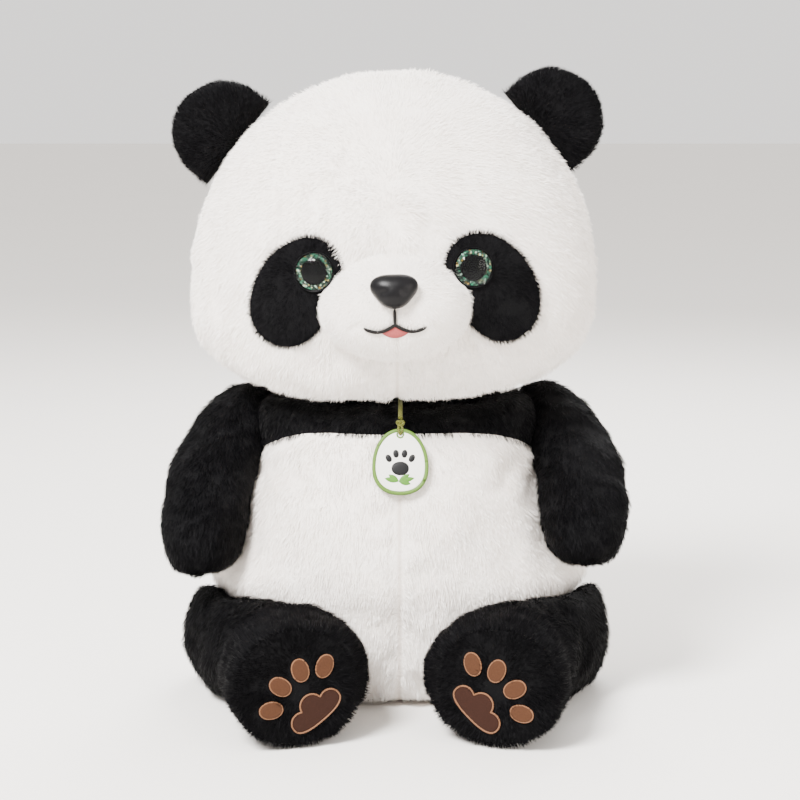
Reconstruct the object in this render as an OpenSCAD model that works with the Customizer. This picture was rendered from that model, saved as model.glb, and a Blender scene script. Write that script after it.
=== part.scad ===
// Seated plush panda, sewn from fur covers over loose filling, with plastic eyes and nose.
// The toy faces -Y and sits on Z = 0, and its own left side is +X.
// A soft part is a loft: rings of points along a middle line, closed by a pole at each end.

/* [Covers] */
// Thickness of a cover, cloth and pile together
cover_t = 3; // [2.5:0.5:4]
// Clear space between a cover and its filling
loose = 1.5; // [1.3:0.1:2]
// Clear space between two parts that lie against each other
gap = 0.3; // [0.2:0.1:0.5]

/* [Head] */
// Width of the head
head_w = 278; // [266:1:284]
// Depth of the head, without the muzzle
head_d = 205; // [195:1:210]
// Height of the crown above the seat
crown_z = 426; // [410:1:440]
// Height of the widest part of the head
cheek_z = 280; // [275:1:285]
// Height of the underside of the chin
chin_z = 206; // [206:0.5:208]
// Lean of the head towards its right shoulder
head_lean = 1.5; // [0:0.5:2]

/* [Muzzle and nose] */
// Width of the muzzle
muzzle_w = 94; // [86:1:100]
// Height of the muzzle
muzzle_h = 65; // [60:1:70]
// How far the muzzle stands out of the face
muzzle_out = 37; // [30:1:42]
// Width of the nose button
nose_w = 29.5; // [26:0.5:32]
// Height of the nose button
nose_h = 21; // [19:0.5:23]

/* [Eyes] */
// Diameter of an eye
eye_d = 24; // [20:0.5:26]
// Distance from the middle of the face to an eye
eye_x = 51.2; // [48:0.2:54]
// Height of the eyes above the seat
eye_z = 296.7; // [292:0.1:300]
// Diameter of the posts that hold the eyes and the nose
post_d = 5; // [4:0.5:6]

/* [Ears] */
// Radius of the round edge of an ear
ear_r = 34; // [30:1:36]
// Thickness of an ear
ear_t = 22; // [18:1:23]

/* [Torso] */
// Greatest width of the torso
torso_w = 253; // [248:1:254]
// Greatest depth of the torso
torso_d = 208; // [200:1:208]
// Radius of the flat round panel that the toy sits on
seat_r = 60; // [50:1:62]
// Height of the seam between the dark yoke and the pale belly, at the middle
yoke_z = 188; // [180:1:192]

/* [Limbs] */
// How far the left arm is lifted forward of the right one
left_arm_lift = 7; // [0:1:10]
// Inward turn of the soles
sole_turn = 18; // [14:1:20]
// Width of a sole
sole_w = 76; // [70:1:78]

/* [Tag] */
// Width of the hanging tag
tag_w = 37.5; // [30:0.5:40]
// Height of the hanging tag
tag_h = 44; // [36:0.5:46]
// Diameter of the tag's cord
cord_d = 3.2; // [2.5:0.1:3.6]

/* [Hidden] */
$fn = 48;

// Colours of the materials
pale = "#f3ede6";
dark = "#1c1c22";
cotton = "#fbfbf8";

// The torso's middle line is this far behind the middle of the whole toy
body_y = 30.05;
// A length larger than the toy, for cutting
far = 600;

// ---- Lofts ----

function spow(v, e) = (v < 0 ? -1 : 1) * pow(abs(v), e);
// A point between keys b and c on a smooth curve through a, b, c and d
function between(a, b, c, d, s) =
    0.5 * (2 * b + (c - a) * s + (2 * a - 5 * b + 4 * c - d) * s * s
    + (3 * b - a - 3 * c + d) * s * s * s);
// The rows of a key table, with steps - 1 smooth rows added between each two
function smooth(keys, steps) = let (last = len(keys) - 1) [
    for (i = [0:last - 1], k = [0:steps - 1])
        between(keys[max(i - 1, 0)], keys[i], keys[i + 1], keys[min(i + 2, last)], k / steps),
    keys[last]
];
// A superellipse ring about point c, a wide across direction u and b high along direction v
function ring(c, a, b, u, v, n, count) = [
    for (i = [0:count - 1])
        let (t = 360 * i / count)
            c + a * spow(cos(t), 2 / n) * u + b * spow(sin(t), 2 / n) * v
];

// The closed solid through rings, with a pole at its first and its last end
module loft(rings, first, last) {
    n = len(rings[0]);
    m = len(rings);
    points = [first, for (r = rings) each r, last];
    end = len(points) - 1;
    faces = [
        for (j = [0:n - 1]) let (k = (j + 1) % n) each [
            [0, 1 + j, 1 + k],
            for (i = [0:m - 2]) each [
                [1 + i * n + j, 1 + (i + 1) * n + k, 1 + i * n + k],
                [1 + i * n + j, 1 + (i + 1) * n + j, 1 + (i + 1) * n + k]
            ],
            [end, 1 + (m - 1) * n + k, 1 + (m - 1) * n + j]
        ]
    ];
    polyhedron(points, faces);
}

// A round tube along points, with its rings square to the stretch that they are on
module tube(path, d, sides) {
    last = len(path) - 1;
    rings = [
        for (i = [0:last])
            let (
                way = path[min(i + 1, last)] - path[max(i - 1, 0)],
                z = way / norm(way),
                side = cross(z, abs(z[1]) > 0.9 ? [1, 0, 0] : [0, 1, 0]),
                u = side / norm(side)
            ) ring(path[i], d / 2, d / 2, u, cross(z, u), 2, sides)
    ];
    loft(rings, path[0], path[last]);
}

// Children stand on the surface at p: z points outwards, y up, turned sideways by yaw and up by pitch
module facing(p, yaw, pitch) {
    translate(p) rotate([0, 0, yaw]) rotate([90 - pitch, 0, 0]) children();
}

module each_side(side) {
    mirror([side < 0 ? 1 : 0, 0, 0]) children();
}

// ---- Head ----

neck_p = [0, 5, 215];
head_n = 2.3;
head_front = head_d / 2 + 2.5;
jaw_n = 3.2;

// The head stands on the neck and leans about it
module on_head() {
    translate([0, body_y, 0]) translate(neck_p) rotate([0, -head_lean, 0]) translate(-neck_p)
        children();
}

// The head shape, inset by d: an ellipse above the cheeks and a square-jawed one below
module head_shape(d, count, step) {
    a = head_w / 2 - d;
    b = head_d / 2 - d;
    up = crown_z - cheek_z - d;
    down = cheek_z - chin_z - d;
    rings = [
        for (t = [-90 + step:step:90 - step])
            let (n = t < 0 ? jaw_n : 2, w = pow(cos(t), 2 / n))
                ring([0, -2.5, cheek_z + (t < 0 ? down : up) * spow(sin(t), 2 / n)],
                    a * w, b * w, [1, 0, 0], [0, 1, 0], head_n, count)
    ];
    loft(rings, [0, -2.5, cheek_z - down], [0, -2.5, cheek_z + up]);
}

// Depth of the face at x and z, a little above the cheeks
function face_y(x, z) =
    let (w = sqrt(1 - pow((z - cheek_z) / (crown_z - cheek_z), 2)), r = abs(x) * 2 / head_w / w)
        -2.5 - head_d / 2 * w * pow(1 - pow(r, head_n), 1 / head_n);

muzzle_z = 272;
muzzle_n = 2.4;
muzzle_y = -100;

module muzzle_outline(d) {
    polygon(ring([0, 0], muzzle_w / 2 - d, muzzle_h / 2 - d, [1, 0], [0, 1], 2.1, 32));
}

// The opening in the face that the muzzle is sewn into
module muzzle_opening(d) {
    facing([0, muzzle_y + 4 + d, muzzle_z], 0, 0) linear_extrude(100) muzzle_outline(-d);
}

patch_p = [65.5, 0, 281];
patch_r = [25.5, 34.5];
patch_tilt = 27;

// The slanting oval of an eye patch, carried through the front of the face
module patch_prism() {
    facing([patch_p[0], -40, patch_p[2]], 0, 0) rotate(patch_tilt)
        linear_extrude(120) polygon(ring([0, 0], patch_r[0], patch_r[1], [1, 0], [0, 1], 2.2, 28));
}

eye_yaw = 10;
eye_pitch = 3;
seat_depth = 1;
post_r = post_d / 2;
post_play = 0.1;
post_len = 14;
washer_t = 1.5;
eye_washer_r = 9;
washer_z = cover_t + 1;

// Children stand in an eye's seat, which is cut a little way into the patch
module on_eye() {
    facing([eye_x, face_y(eye_x, eye_z) + seat_depth, eye_z], eye_yaw, eye_pitch) children();
}

module washer(r) {
    difference() {
        cylinder(h = washer_t, r = r);
        translate([0, 0, -1]) cylinder(h = washer_t + 2, r = post_r + post_play);
    }
}

// What an eye takes out of the cover and the filling: its seat, its post and its washer
module eye_space(with_washer) {
    cylinder(h = 20, r = eye_d / 2 + gap);
    translate([0, 0, -post_len - 1]) cylinder(h = post_len + 2, r = post_r + post_play);
    if (with_washer) {
        translate([0, 0, -washer_z - washer_t - gap])
            cylinder(h = washer_t + 2 * gap, r = eye_washer_r + gap);
    }
}

neck_r = 30;
neck_top = 4;

// The round neck, cut flat where it meets the head
module neck_ball(d) {
    translate(neck_p) intersection() {
        sphere(r = neck_r + d);
        translate([0, 0, chin_z + neck_top + d - neck_p[2] - far / 2]) cube(far, center = true);
    }
}

module head_cover_shape() {
    difference() {
        head_shape(0, 36, 10);
        head_shape(cover_t, 36, 10);
        muzzle_opening(gap);
        neck_ball(2 * gap);
    }
}

side_seam_y = 10;

module head_front_half(side) {
    on_head() each_side(side) difference() {
        intersection() {
            head_cover_shape();
            translate([0, side_seam_y - far, 0]) cube(far);
        }
        patch_prism();
    }
}

module head_face_left() {
    color(pale) head_front_half(1);
}

module head_face_right() {
    color(pale) head_front_half(-1);
}

module head_back() {
    color(pale) on_head() intersection() {
        head_cover_shape();
        translate([-far / 2, side_seam_y, 0]) cube(far);
    }
}

module eye_patch(side) {
    color(dark) on_head() each_side(side) difference() {
        intersection() {
            head_cover_shape();
            patch_prism();
        }
        on_eye() eye_space(false);
    }
}

module head_filling() {
    color(cotton) on_head() difference() {
        head_shape(cover_t + loose, 24, 15);
        muzzle_opening(2 * gap);
        neck_ball(loose + gap);
        on_eye() eye_space(true);
        mirror([1, 0, 0]) on_eye() eye_space(true);
    }
}

module neck_filling() {
    color(cotton) translate([0, body_y, 0]) neck_ball(0);
}

// ---- Muzzle, nose and mouth ----

// The muzzle dome inset by d, in its own frame with z outwards
module muzzle_shape(d, count, step) {
    rings = [
        ring([0, 0, -4 + d], muzzle_w / 2 - d, muzzle_h / 2 - d, [1, 0, 0], [0, 1, 0], 2.1, count),
        for (t = [0:step:90 - step])
            let (w = pow(cos(t), 2 / muzzle_n))
                ring([0, 0, (muzzle_out - d) * pow(sin(t), 2 / muzzle_n)],
                    (muzzle_w / 2 - d) * w, (muzzle_h / 2 - d) * w, [1, 0, 0], [0, 1, 0], 2.1, count)
    ];
    loft(rings, [0, 0, -4 + d], [0, 0, muzzle_out - d]);
}

// How far the muzzle stands out at x across and h above its middle
function muzzle_at(x, h) =
    let (r = pow(pow(abs(x) * 2 / muzzle_w, 2.1) + pow(abs(h) * 2 / muzzle_h, 2.1), 1 / 2.1))
        muzzle_out * pow(1 - pow(r, muzzle_n), 1 / muzzle_n);

module on_muzzle() {
    on_head() facing([0, muzzle_y, muzzle_z], 0, 0) children();
}

nose_h0 = 14;
nose_pitch = 22;
nose_t = 12;
nose_washer_r = 8;
nose_washer_z = cover_t + 3;

// Children stand on the muzzle under the nose, with z outwards
module on_nose() {
    translate([0, nose_h0, muzzle_at(0, nose_h0) + 0.6]) rotate([-nose_pitch, 0, 0]) children();
}

module nose_hole(with_washer) {
    on_nose() {
        translate([0, 0, -post_len - 1]) cylinder(h = post_len + 3, r = post_r + post_play);
        if (with_washer) {
            translate([0, 0, -nose_washer_z - washer_t - gap])
                cylinder(h = washer_t + 2 * gap, r = nose_washer_r + gap);
        }
    }
}

module muzzle_cover() {
    color(pale) on_muzzle() difference() {
        muzzle_shape(0, 28, 11.25);
        muzzle_shape(cover_t, 28, 11.25);
        nose_hole(false);
    }
}

module muzzle_filling() {
    color(cotton) on_muzzle() difference() {
        muzzle_shape(cover_t + loose, 24, 15);
        nose_hole(true);
    }
}

// One outline of the nose: a rounded triangle with its point down
function nose_ring(z, s) = [
    for (i = [0:27])
        let (t = 360 * i / 28, r = s * (1 + 0.1 * cos(3 * (t + 90))) / 1.05)
            [nose_w / 2 * r * cos(t), nose_h / 2 * r * sin(t), z]
];

module nose_button() {
    color("#2d2d33") on_muzzle() on_nose() union() {
        loft(
            [nose_ring(0, 0.9), nose_ring(1.5, 1), nose_ring(4, 0.98),
                for (t = [20:15:80]) nose_ring(4 + (nose_t - 4) * sin(t), 0.98 * cos(t))],
            [0, 0, 0], [0, 0, nose_t]);
        translate([0, 0, -post_len]) cylinder(h = post_len + 1, r = post_r);
    }
}

module nose_washer() {
    color("#d8d8d4") on_muzzle() on_nose()
        translate([0, 0, -nose_washer_z - washer_t]) washer(nose_washer_r);
}

thread_d = 2.2;
mouth_w = 40;
mouth_h = -7;
mouth_dip = 4.6;

// Height of the mouth line at x, which dips once on each side
function mouth_at(x) = mouth_h - mouth_dip * abs(sin(180 * x / mouth_w * 2 * 0.87));

module mouth_thread() {
    rise = thread_d / 2 + 0.4;
    color("#211a19") on_muzzle() union() {
        tube([for (k = [-10:10])
            let (x = k * mouth_w / 20, h = mouth_at(x)) [x, h, muzzle_at(x, h) + rise]],
            thread_d, 8);
        tube([for (h = [mouth_h - 0.3:2:nose_h0 - nose_h / 2 - 1.5]) [0, h, muzzle_at(0, h) + rise]],
            thread_d, 8);
    }
}

module tongue() {
    top = mouth_h - 6;
    color("#e08c84") on_muzzle() translate([0.6, top, muzzle_at(0, top) + 0.45]) rotate([20, 0, 0])
        linear_extrude(0.8) difference() {
            scale([1, 0.72]) circle(r = 8.2);
            translate([-20, 1]) square([40, 20]);
        }
}

// ---- Eyes ----

lens_h = 7.5;
glitter_t = 0.6;
pupil_r = 7.6;
pupil_t = 0.4;

module eye_lens(side) {
    r = eye_d / 2;
    // Radius of the ball that the dome is part of
    ball = (r * r + lens_h * lens_h) / (2 * lens_h);
    color([0.75, 0.8, 0.8, 0.5]) on_head() each_side(side) on_eye() union() {
        difference() {
            translate([0, 0, glitter_t]) intersection() {
                translate([0, 0, lens_h - ball]) sphere(r = ball);
                cylinder(h = lens_h + 1, r = r);
            }
            translate([0, 0, glitter_t - 1]) cylinder(h = 1 + pupil_t, r = pupil_r);
        }
        translate([0, 0, -post_len]) cylinder(h = post_len + glitter_t + pupil_t + 0.2, r = post_r);
    }
}

module eye_pupil(side) {
    color("#141414") on_head() each_side(side) on_eye() translate([0, 0, glitter_t]) difference() {
        cylinder(h = pupil_t, r = pupil_r);
        translate([0, 0, -1]) cylinder(h = 3, r = post_r);
    }
}

module eye_glitter(side) {
    color("#2f6b52") on_head() each_side(side) on_eye() difference() {
        cylinder(h = glitter_t, r = eye_d / 2);
        translate([0, 0, -1]) cylinder(h = 3, r = post_r);
    }
}

module eye_washer(side) {
    color("#d8d8d4") on_head() each_side(side) on_eye()
        translate([0, 0, -washer_z - washer_t]) washer(eye_washer_r);
}

// ---- Ears ----

ear_tilt = 50.4;
ear_up = 9;
ear_foot = 0.8;
ear_p = [105, 6, 375.7];

// The ear shape inset by d: a half disc whose sections narrow towards both ends
module ear_shape(d, count) {
    rings = [
        for (t = [-78:13:78])
            let (
                x = (ear_r - d) * sin(t),
                top = ear_up + (ear_r - d) * cos(t),
                half = (top - ear_foot - d) / 2
            ) ring([x, 0, ear_foot + d + half], (ear_t / 2 - d) * (0.45 + 0.55 * cos(t)), half,
                [0, 1, 0], [0, 0, 1], 2.2, count)
    ];
    loft(rings, [-ear_r + d, 0, ear_up], [ear_r - d, 0, ear_up]);
}

module on_ear(side) {
    on_head() each_side(side) translate(ear_p) rotate([0, ear_tilt, 0]) children();
}

module ear_cover(side) {
    color(dark) on_ear(side) difference() {
        ear_shape(0, 16);
        ear_shape(cover_t, 16);
    }
}

module ear_filling(side) {
    color(cotton) on_ear(side) ear_shape(cover_t + loose, 12);
}

// ---- Torso ----

// Height, half width, half depth and forward shift of the torso, from the seat to the neck
torso_keys = [
    [0, 86, 70, 0], [10, 102, 86, 0], [38, 115, 98, 0], [60, 118, 101, 0], [80, 125.5, 104, 0],
    [100, 114, 103, 0], [132, 105, 98, 0], [165, 93.5, 89, 0], [186, 90, 77, 2],
    [196, 83, 62, 10], [200.5, 71, 46, 17], [202.5, 50, 28, 20]
];
torso_rows = smooth(torso_keys, 2);
torso_top = 202.5;

module torso_shape(d, rows, count) {
    wide = torso_w / 253;
    deep = torso_d / 208;
    squeeze = 1 - 2 * d / torso_top;
    rings = [
        for (r = rows)
            ring([0, -r[3], d + r[0] * squeeze], r[1] * wide - d, r[2] * deep - d,
                [1, 0, 0], [0, 1, 0], 2.05, count)
    ];
    loft(rings, [0, 0, d], [0, -20, torso_top - d]);
}

module torso_cover_shape() {
    difference() {
        torso_shape(0, torso_rows, 36);
        torso_shape(cover_t, torso_rows, 36);
        neck_ball(2 * gap);
        translate([0, 0, -1]) cylinder(h = cover_t + 2, r = seat_r + gap, $fn = 96);
    }
}

// Everything above the yoke seam, which falls away towards both arms
module yoke_region() {
    half = 140;
    translate([0, far / 2, 0]) rotate([90, 0, 0]) linear_extrude(far) polygon([
        for (x = [-half:10:half]) [x, yoke_z - 23 * pow(abs(x) / 92, 3)],
        [half, far / 2],
        [-half, far / 2]
    ]);
}

module on_body() {
    translate([0, body_y, 0]) children();
}

module torso_yoke() {
    color(dark) on_body() intersection() {
        torso_cover_shape();
        yoke_region();
    }
}

// The lower cover, cut to the block that starts at p
module lower_cover(p) {
    on_body() intersection() {
        difference() {
            torso_cover_shape();
            yoke_region();
        }
        translate(p) cube(far);
    }
}

torso_seam_y = 30;

module belly_left() {
    color(pale) lower_cover([0, torso_seam_y - far, -1]);
}

module belly_right() {
    color(pale) lower_cover([-far, torso_seam_y - far, -1]);
}

module torso_back() {
    color(pale) lower_cover([-far / 2, torso_seam_y, -1]);
}

module seat_panel() {
    color(pale) on_body() cylinder(h = cover_t, r = seat_r, $fn = 96);
}

module torso_filling() {
    color(cotton) on_body() difference() {
        torso_shape(cover_t + loose, torso_keys, 24);
        neck_ball(2 * gap);
    }
}

tail_p = [0, 99.2, 44];
tail_tilt = 12;
tail_r = 19;
tail_out = 8;

module tail_ball(d) {
    on_body() translate(tail_p) rotate([-90 - tail_tilt, 0, 0]) intersection() {
        translate([0, 0, tail_out]) sphere(r = tail_r - d);
        translate([-far / 2, -far / 2, d]) cube(far);
    }
}

module tail_cover() {
    color(pale) difference() {
        tail_ball(0);
        tail_ball(cover_t);
    }
}

module tail_filling() {
    color(cotton) tail_ball(cover_t + loose);
}

// ---- Arms ----

shoulder_p = [95, 5, 188];
// Middle point, half width and half depth of the left arm, from the paw to the shoulder
arm_keys = [
    [127, -58, 90.5, 12, 13], [127.5, -57, 97, 22.5, 24], [128.5, -52, 115, 29, 31],
    [127.5, -42, 134, 28.5, 31.5], [122.5, -23, 158, 26, 29], [115.5, -5, 178, 21.5, 25],
    [109, 4, 194, 16.5, 20], [103.5, 6, 206, 9, 9]
];
arm_ends = [89.5, 208.5];

module arm_shape(d, rows, count) {
    mid = (arm_ends[0] + arm_ends[1]) / 2;
    squeeze = 1 - 2 * d / (arm_ends[1] - arm_ends[0]);
    rings = [
        for (r = rows)
            ring([r[0], r[1], mid + (r[2] - mid) * squeeze], r[3] - d, r[4] - d,
                [1, 0, 0], [0, 1, 0], 2.1, count)
    ];
    paw = arm_keys[0];
    top = arm_keys[len(arm_keys) - 1];
    loft(rings, [paw[0], paw[1], arm_ends[0] + d], [top[0], top[1], arm_ends[1] - d]);
}

module on_shoulder(side) {
    lift = side > 0 ? left_arm_lift : 0;
    on_body() each_side(side) translate(shoulder_p) rotate([-lift, 0, 0]) translate(-shoulder_p)
        children();
}

module arm_cover(side) {
    color(dark) on_shoulder(side) difference() {
        arm_shape(0, smooth(arm_keys, 2), 18);
        arm_shape(cover_t, smooth(arm_keys, 2), 18);
    }
}

module arm_filling(side) {
    color(cotton) on_shoulder(side) arm_shape(cover_t + loose, arm_keys, 14);
}

// ---- Legs ----

// Middle point, half width, half height and turn of the left leg, from the hip to the sole
leg_keys = [
    [132, 9, 37, 9, 22, 0], [132, -8, 37, 12, 31, 0], [129, -30, 37.5, 15.5, 35, 0],
    [118.5, -56, 38, 17.5, 36, 0], [103.5, -77, 38.5, 24, 37, -2], [83.5, -97, 39.5, 35.5, 38.5, -6],
    [71, -119, 41, 43, 40.5, -14], [66.5, -145, 41.5, 44, 41, -18], [64.5, -164, 41.5, 42.5, 40.5, -18]
];
sole_p = [64, -172, 41.5];
sole_high = 76;

sole_way = [-sin(sole_turn), -cos(sole_turn), 0];

// The leg shape inset by d, which runs past the sole by over
module leg_shape(d, over, steps, count) {
    rows = smooth(leg_keys, steps);
    start = leg_keys[0][1];
    squeeze = 1 - d / (start - sole_p[1]);
    across = [cos(sole_turn), -sin(sole_turn), 0];
    rings = [
        for (r = rows)
            ring([r[0], sole_p[1] + (r[1] - sole_p[1]) * squeeze, r[2]], r[3] - d, r[4] - d,
                [cos(r[5]), sin(r[5]), 0], [0, 0, 1], 2.1, count),
        ring(sole_p + over * sole_way, sole_w / 2 - d, sole_high / 2 - d, across, [0, 0, 1], 2.1, count)
    ];
    loft(rings, [leg_keys[0][0], start + 2 - 2 * d, leg_keys[0][2]], sole_p + over * sole_way);
}

module on_hip(side) {
    on_body() each_side(side) children();
}

module leg_cover(side) {
    color(dark) on_hip(side) difference() {
        leg_shape(0, 0, 2, 20);
        leg_shape(cover_t, 1, 2, 20);
    }
}

module leg_filling(side) {
    color(cotton) on_hip(side) leg_shape(cover_t + loose, -gap, 2, 16);
}

// Children lie on the front face of the sole
sole_t = 2.5;

module on_sole(side, rise) {
    on_hip(side) facing(sole_p, -sole_turn, 0) translate([0, 0, rise]) children();
}

module foot_sole(side) {
    color(dark) on_sole(side, 0) linear_extrude(sole_t)
        polygon(ring([0, 0], sole_w / 2, sole_high / 2, [1, 0], [0, 1], 2.1, 48));
}

// How far the pads of the left and of the right foot are turned outwards
pad_turn = [43, 37];
pad_t = 1.4;
border_w = 1.8;

module on_pads(side) {
    on_sole(side, sole_t) translate([-4.5, -6.5, 0]) rotate(side > 0 ? -pad_turn[0] : -pad_turn[1])
        children();
}

// The cloud outline of the large pad: three lobes above a shallow arch, inset by d
module pad_outline(d) {
    union() {
        translate([0, 2.5]) circle(r = 8 - d);
        for (s = [-1, 1]) {
            translate([s * 11.5, -2.2]) circle(r = 7.2 - d);
        }
        translate([-11.5, -9.4 + d]) square([23, 10 - d]);
    }
}

module paw_pad(side) {
    color("#6e4230") on_pads(side) translate([0, -11, 0]) linear_extrude(pad_t) pad_outline(border_w);
}

module pad_border(side) {
    color("#b98c6e") on_pads(side) translate([0, -11, 0]) linear_extrude(pad_t + 0.3) difference() {
        pad_outline(0);
        pad_outline(border_w);
    }
}

toe_angles = [57, 20, -19, -56];
toe_reach = [26, 24, 24, 26];
toe_r = [5.3, 7.4];

module toe_pad(side, k) {
    color("#b07e5c") on_pads(side) translate([0, -8, 0]) rotate(toe_angles[k - 1])
        translate([0, toe_reach[k - 1], 0]) linear_extrude(pad_t)
            polygon(ring([0, 0], toe_r[0], toe_r[1], [1, 0], [0, 1], 2.1, 24));
}

// ---- Hanging tag ----

// Middle line of the cord, from the neck seam to the knot
cord_route = [
    [2, -46, 204.5], [2, -52, 204.4], [2, -58, 204], [2, -64, 203.2], [2, -69.5, 202],
    [2, -74.5, 200.4], [2, -79, 198.6], [2, -82, 197.2]
];
knot_p = [2, -84, 193.6];
knot_r = 3.2;
tag_lean = 18;
tag_back_t = 1.6;
tag_face_t = 0.9;
tag_rim = 2.6;
eyelet_r = 1.5;

module tag_cord() {
    color("#96964a") on_body() tube(cord_route, cord_d, 8);
}

module tag_knot() {
    color("#96964a") on_body() translate(knot_p) sphere(r = knot_r);
}

// An egg outline, narrower at the top, inset by d
module egg(d) {
    rows = 40;
    polygon([
        for (i = [0:rows - 1])
            let (t = 360 * i / rows, slim = 1 - 0.13 * sin(t))
                [(tag_w / 2 - d) * slim / 1.02 * spow(cos(t), 0.9), (tag_h / 2 - d) * spow(sin(t), 0.9)]
    ]);
}

// Children lie on the tag, which hangs from the knot and rests on the belly
module on_tag() {
    on_body() translate(knot_p) rotate([-tag_lean, 0, 0]) rotate([90, 0, 0])
        translate([0, -tag_h / 2 - knot_r - 0.2, 0]) children();
}

module tag_back() {
    color("#a9bf7c") on_tag() difference() {
        translate([0, 0, -tag_back_t / 2]) linear_extrude(tag_back_t) egg(0);
        translate([0, tag_h / 2 - 4, -5]) cylinder(h = 10, r = eyelet_r);
    }
}

module tag_face() {
    color("#f6f5ee") on_tag() translate([0, 0, tag_back_t / 2]) difference() {
        linear_extrude(tag_face_t) egg(tag_rim);
        translate([0, tag_h / 2 - 4, -5]) cylinder(h = 10, r = eyelet_r + 1.2);
    }
}

// ---- The nodes ----

head_face_left();
head_face_right();
head_back();
eye_patch(1);  // eye_patch_left
eye_patch(-1);  // eye_patch_right
head_filling();
muzzle_cover();
muzzle_filling();
nose_button();
nose_washer();
mouth_thread();
tongue();
neck_filling();
eye_lens(1);  // eye_lens_left
eye_lens(-1);  // eye_lens_right
eye_pupil(1);  // eye_pupil_left
eye_pupil(-1);  // eye_pupil_right
eye_glitter(1);  // eye_glitter_left
eye_glitter(-1);  // eye_glitter_right
eye_washer(1);  // eye_washer_left
eye_washer(-1);  // eye_washer_right
ear_cover(1);  // ear_cover_left
ear_cover(-1);  // ear_cover_right
ear_filling(1);  // ear_filling_left
ear_filling(-1);  // ear_filling_right
torso_yoke();
belly_left();
belly_right();
torso_back();
seat_panel();
torso_filling();
tail_cover();
tail_filling();
arm_cover(1);  // arm_cover_left
arm_cover(-1);  // arm_cover_right
arm_filling(1);  // arm_filling_left
arm_filling(-1);  // arm_filling_right
leg_cover(1);  // leg_cover_left
leg_cover(-1);  // leg_cover_right
leg_filling(1);  // leg_filling_left
leg_filling(-1);  // leg_filling_right
foot_sole(1);  // foot_sole_left
foot_sole(-1);  // foot_sole_right
paw_pad(1);  // paw_pad_left
paw_pad(-1);  // paw_pad_right
pad_border(1);  // pad_border_left
pad_border(-1);  // pad_border_right
toe_pad(1, 1);  // toe_pad_left_1
toe_pad(1, 2);  // toe_pad_left_2
toe_pad(1, 3);  // toe_pad_left_3
toe_pad(1, 4);  // toe_pad_left_4
toe_pad(-1, 1);  // toe_pad_right_1
toe_pad(-1, 2);  // toe_pad_right_2
toe_pad(-1, 3);  // toe_pad_right_3
toe_pad(-1, 4);  // toe_pad_right_4
tag_cord();
tag_knot();
tag_back();
tag_face();
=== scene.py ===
"""Seated plush panda: fur covers over soft filling, glitter eyes, a moulded nose and a hanging tag.

The toy faces -Y, its own left side is +X and it sits on Z = 0. Shapes are worked out in millimetres
about the middle of the torso, and body_frame carries them to the row frame in metres.
"""
import math
import bpy
import numpy as np
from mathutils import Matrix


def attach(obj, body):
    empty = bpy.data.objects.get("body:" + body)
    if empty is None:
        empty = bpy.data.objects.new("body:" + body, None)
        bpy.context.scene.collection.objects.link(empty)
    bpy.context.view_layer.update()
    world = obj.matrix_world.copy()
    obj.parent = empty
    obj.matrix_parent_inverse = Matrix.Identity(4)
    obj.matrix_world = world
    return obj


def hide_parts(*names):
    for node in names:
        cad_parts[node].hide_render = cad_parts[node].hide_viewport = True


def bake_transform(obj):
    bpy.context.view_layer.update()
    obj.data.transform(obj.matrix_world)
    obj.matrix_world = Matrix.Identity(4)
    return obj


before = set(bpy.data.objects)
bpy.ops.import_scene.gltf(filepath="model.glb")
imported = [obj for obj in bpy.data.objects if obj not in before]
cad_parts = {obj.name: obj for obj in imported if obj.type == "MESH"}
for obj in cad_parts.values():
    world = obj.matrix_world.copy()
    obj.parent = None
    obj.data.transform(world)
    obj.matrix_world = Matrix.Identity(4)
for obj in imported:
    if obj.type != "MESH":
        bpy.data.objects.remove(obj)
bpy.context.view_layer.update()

MM = 0.001
BODY_Y = 30.05  # how far the torso's middle line lies behind the middle of the toy
SIDES = {"left": 1, "right": -1}


# ---- Numbers and directions ----

def spow(v, e):
    """The power e of the size of v, with the sign of v."""
    return np.sign(v) * np.abs(v) ** e


def ramp(v):
    """A smooth step from 0 to 1 as v goes from 0 to 1."""
    v = np.clip(v, 0, 1)
    return v * v * (3 - 2 * v)


def unit(v):
    """Rows of v scaled to length one."""
    return v / np.maximum(np.linalg.norm(v, axis=-1, keepdims=True), 1e-12)


def turned(p, axis, degrees, about=(0, 0, 0)):
    """Points p turned by the right-hand rule about an axis through a point (Rodrigues' formula)."""
    k = unit(np.asarray(axis, float))
    a = math.radians(degrees)
    v = np.asarray(p, float) - about
    along = (v @ k)[..., None] * k
    return v * math.cos(a) + np.cross(k, v) * math.sin(a) + along * (1 - math.cos(a)) + about


def facing(p, at, yaw=0.0, pitch=0.0):
    """Points whose z stands out of a front surface at a point, turned sideways by yaw, up by pitch."""
    return turned(turned(p, (1, 0, 0), 90 - pitch), (0, 0, 1), yaw) + at


def mirrored(p, side):
    """Points on the toy's left, or their mirror image for side -1."""
    return p * np.array([side, 1, 1])


def body_frame(p):
    """Millimetres about the torso to metres in the row frame."""
    return (p + np.array([0, BODY_Y, 0])) * MM


NECK = (0, 5, 215)
HEAD_LEAN = 1.5


def head_frame(p):
    """The head's own millimetres to the row frame: it leans to its right about the neck."""
    return body_frame(turned(p, (0, 1, 0), -HEAD_LEAN, NECK))


def lumps(p, size, seed, waves=10):
    """Smooth noise of about -1 to 1: a sum of sine waves of length size, in random directions."""
    rng = np.random.default_rng(seed)
    k = unit(rng.normal(size=(waves, 3))) * rng.uniform(0.6, 1.5, (waves, 1)) * 2 * math.pi / size
    return np.sin(p @ k.T + rng.uniform(0, 2 * math.pi, waves)).sum(-1) / math.sqrt(waves)


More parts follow.
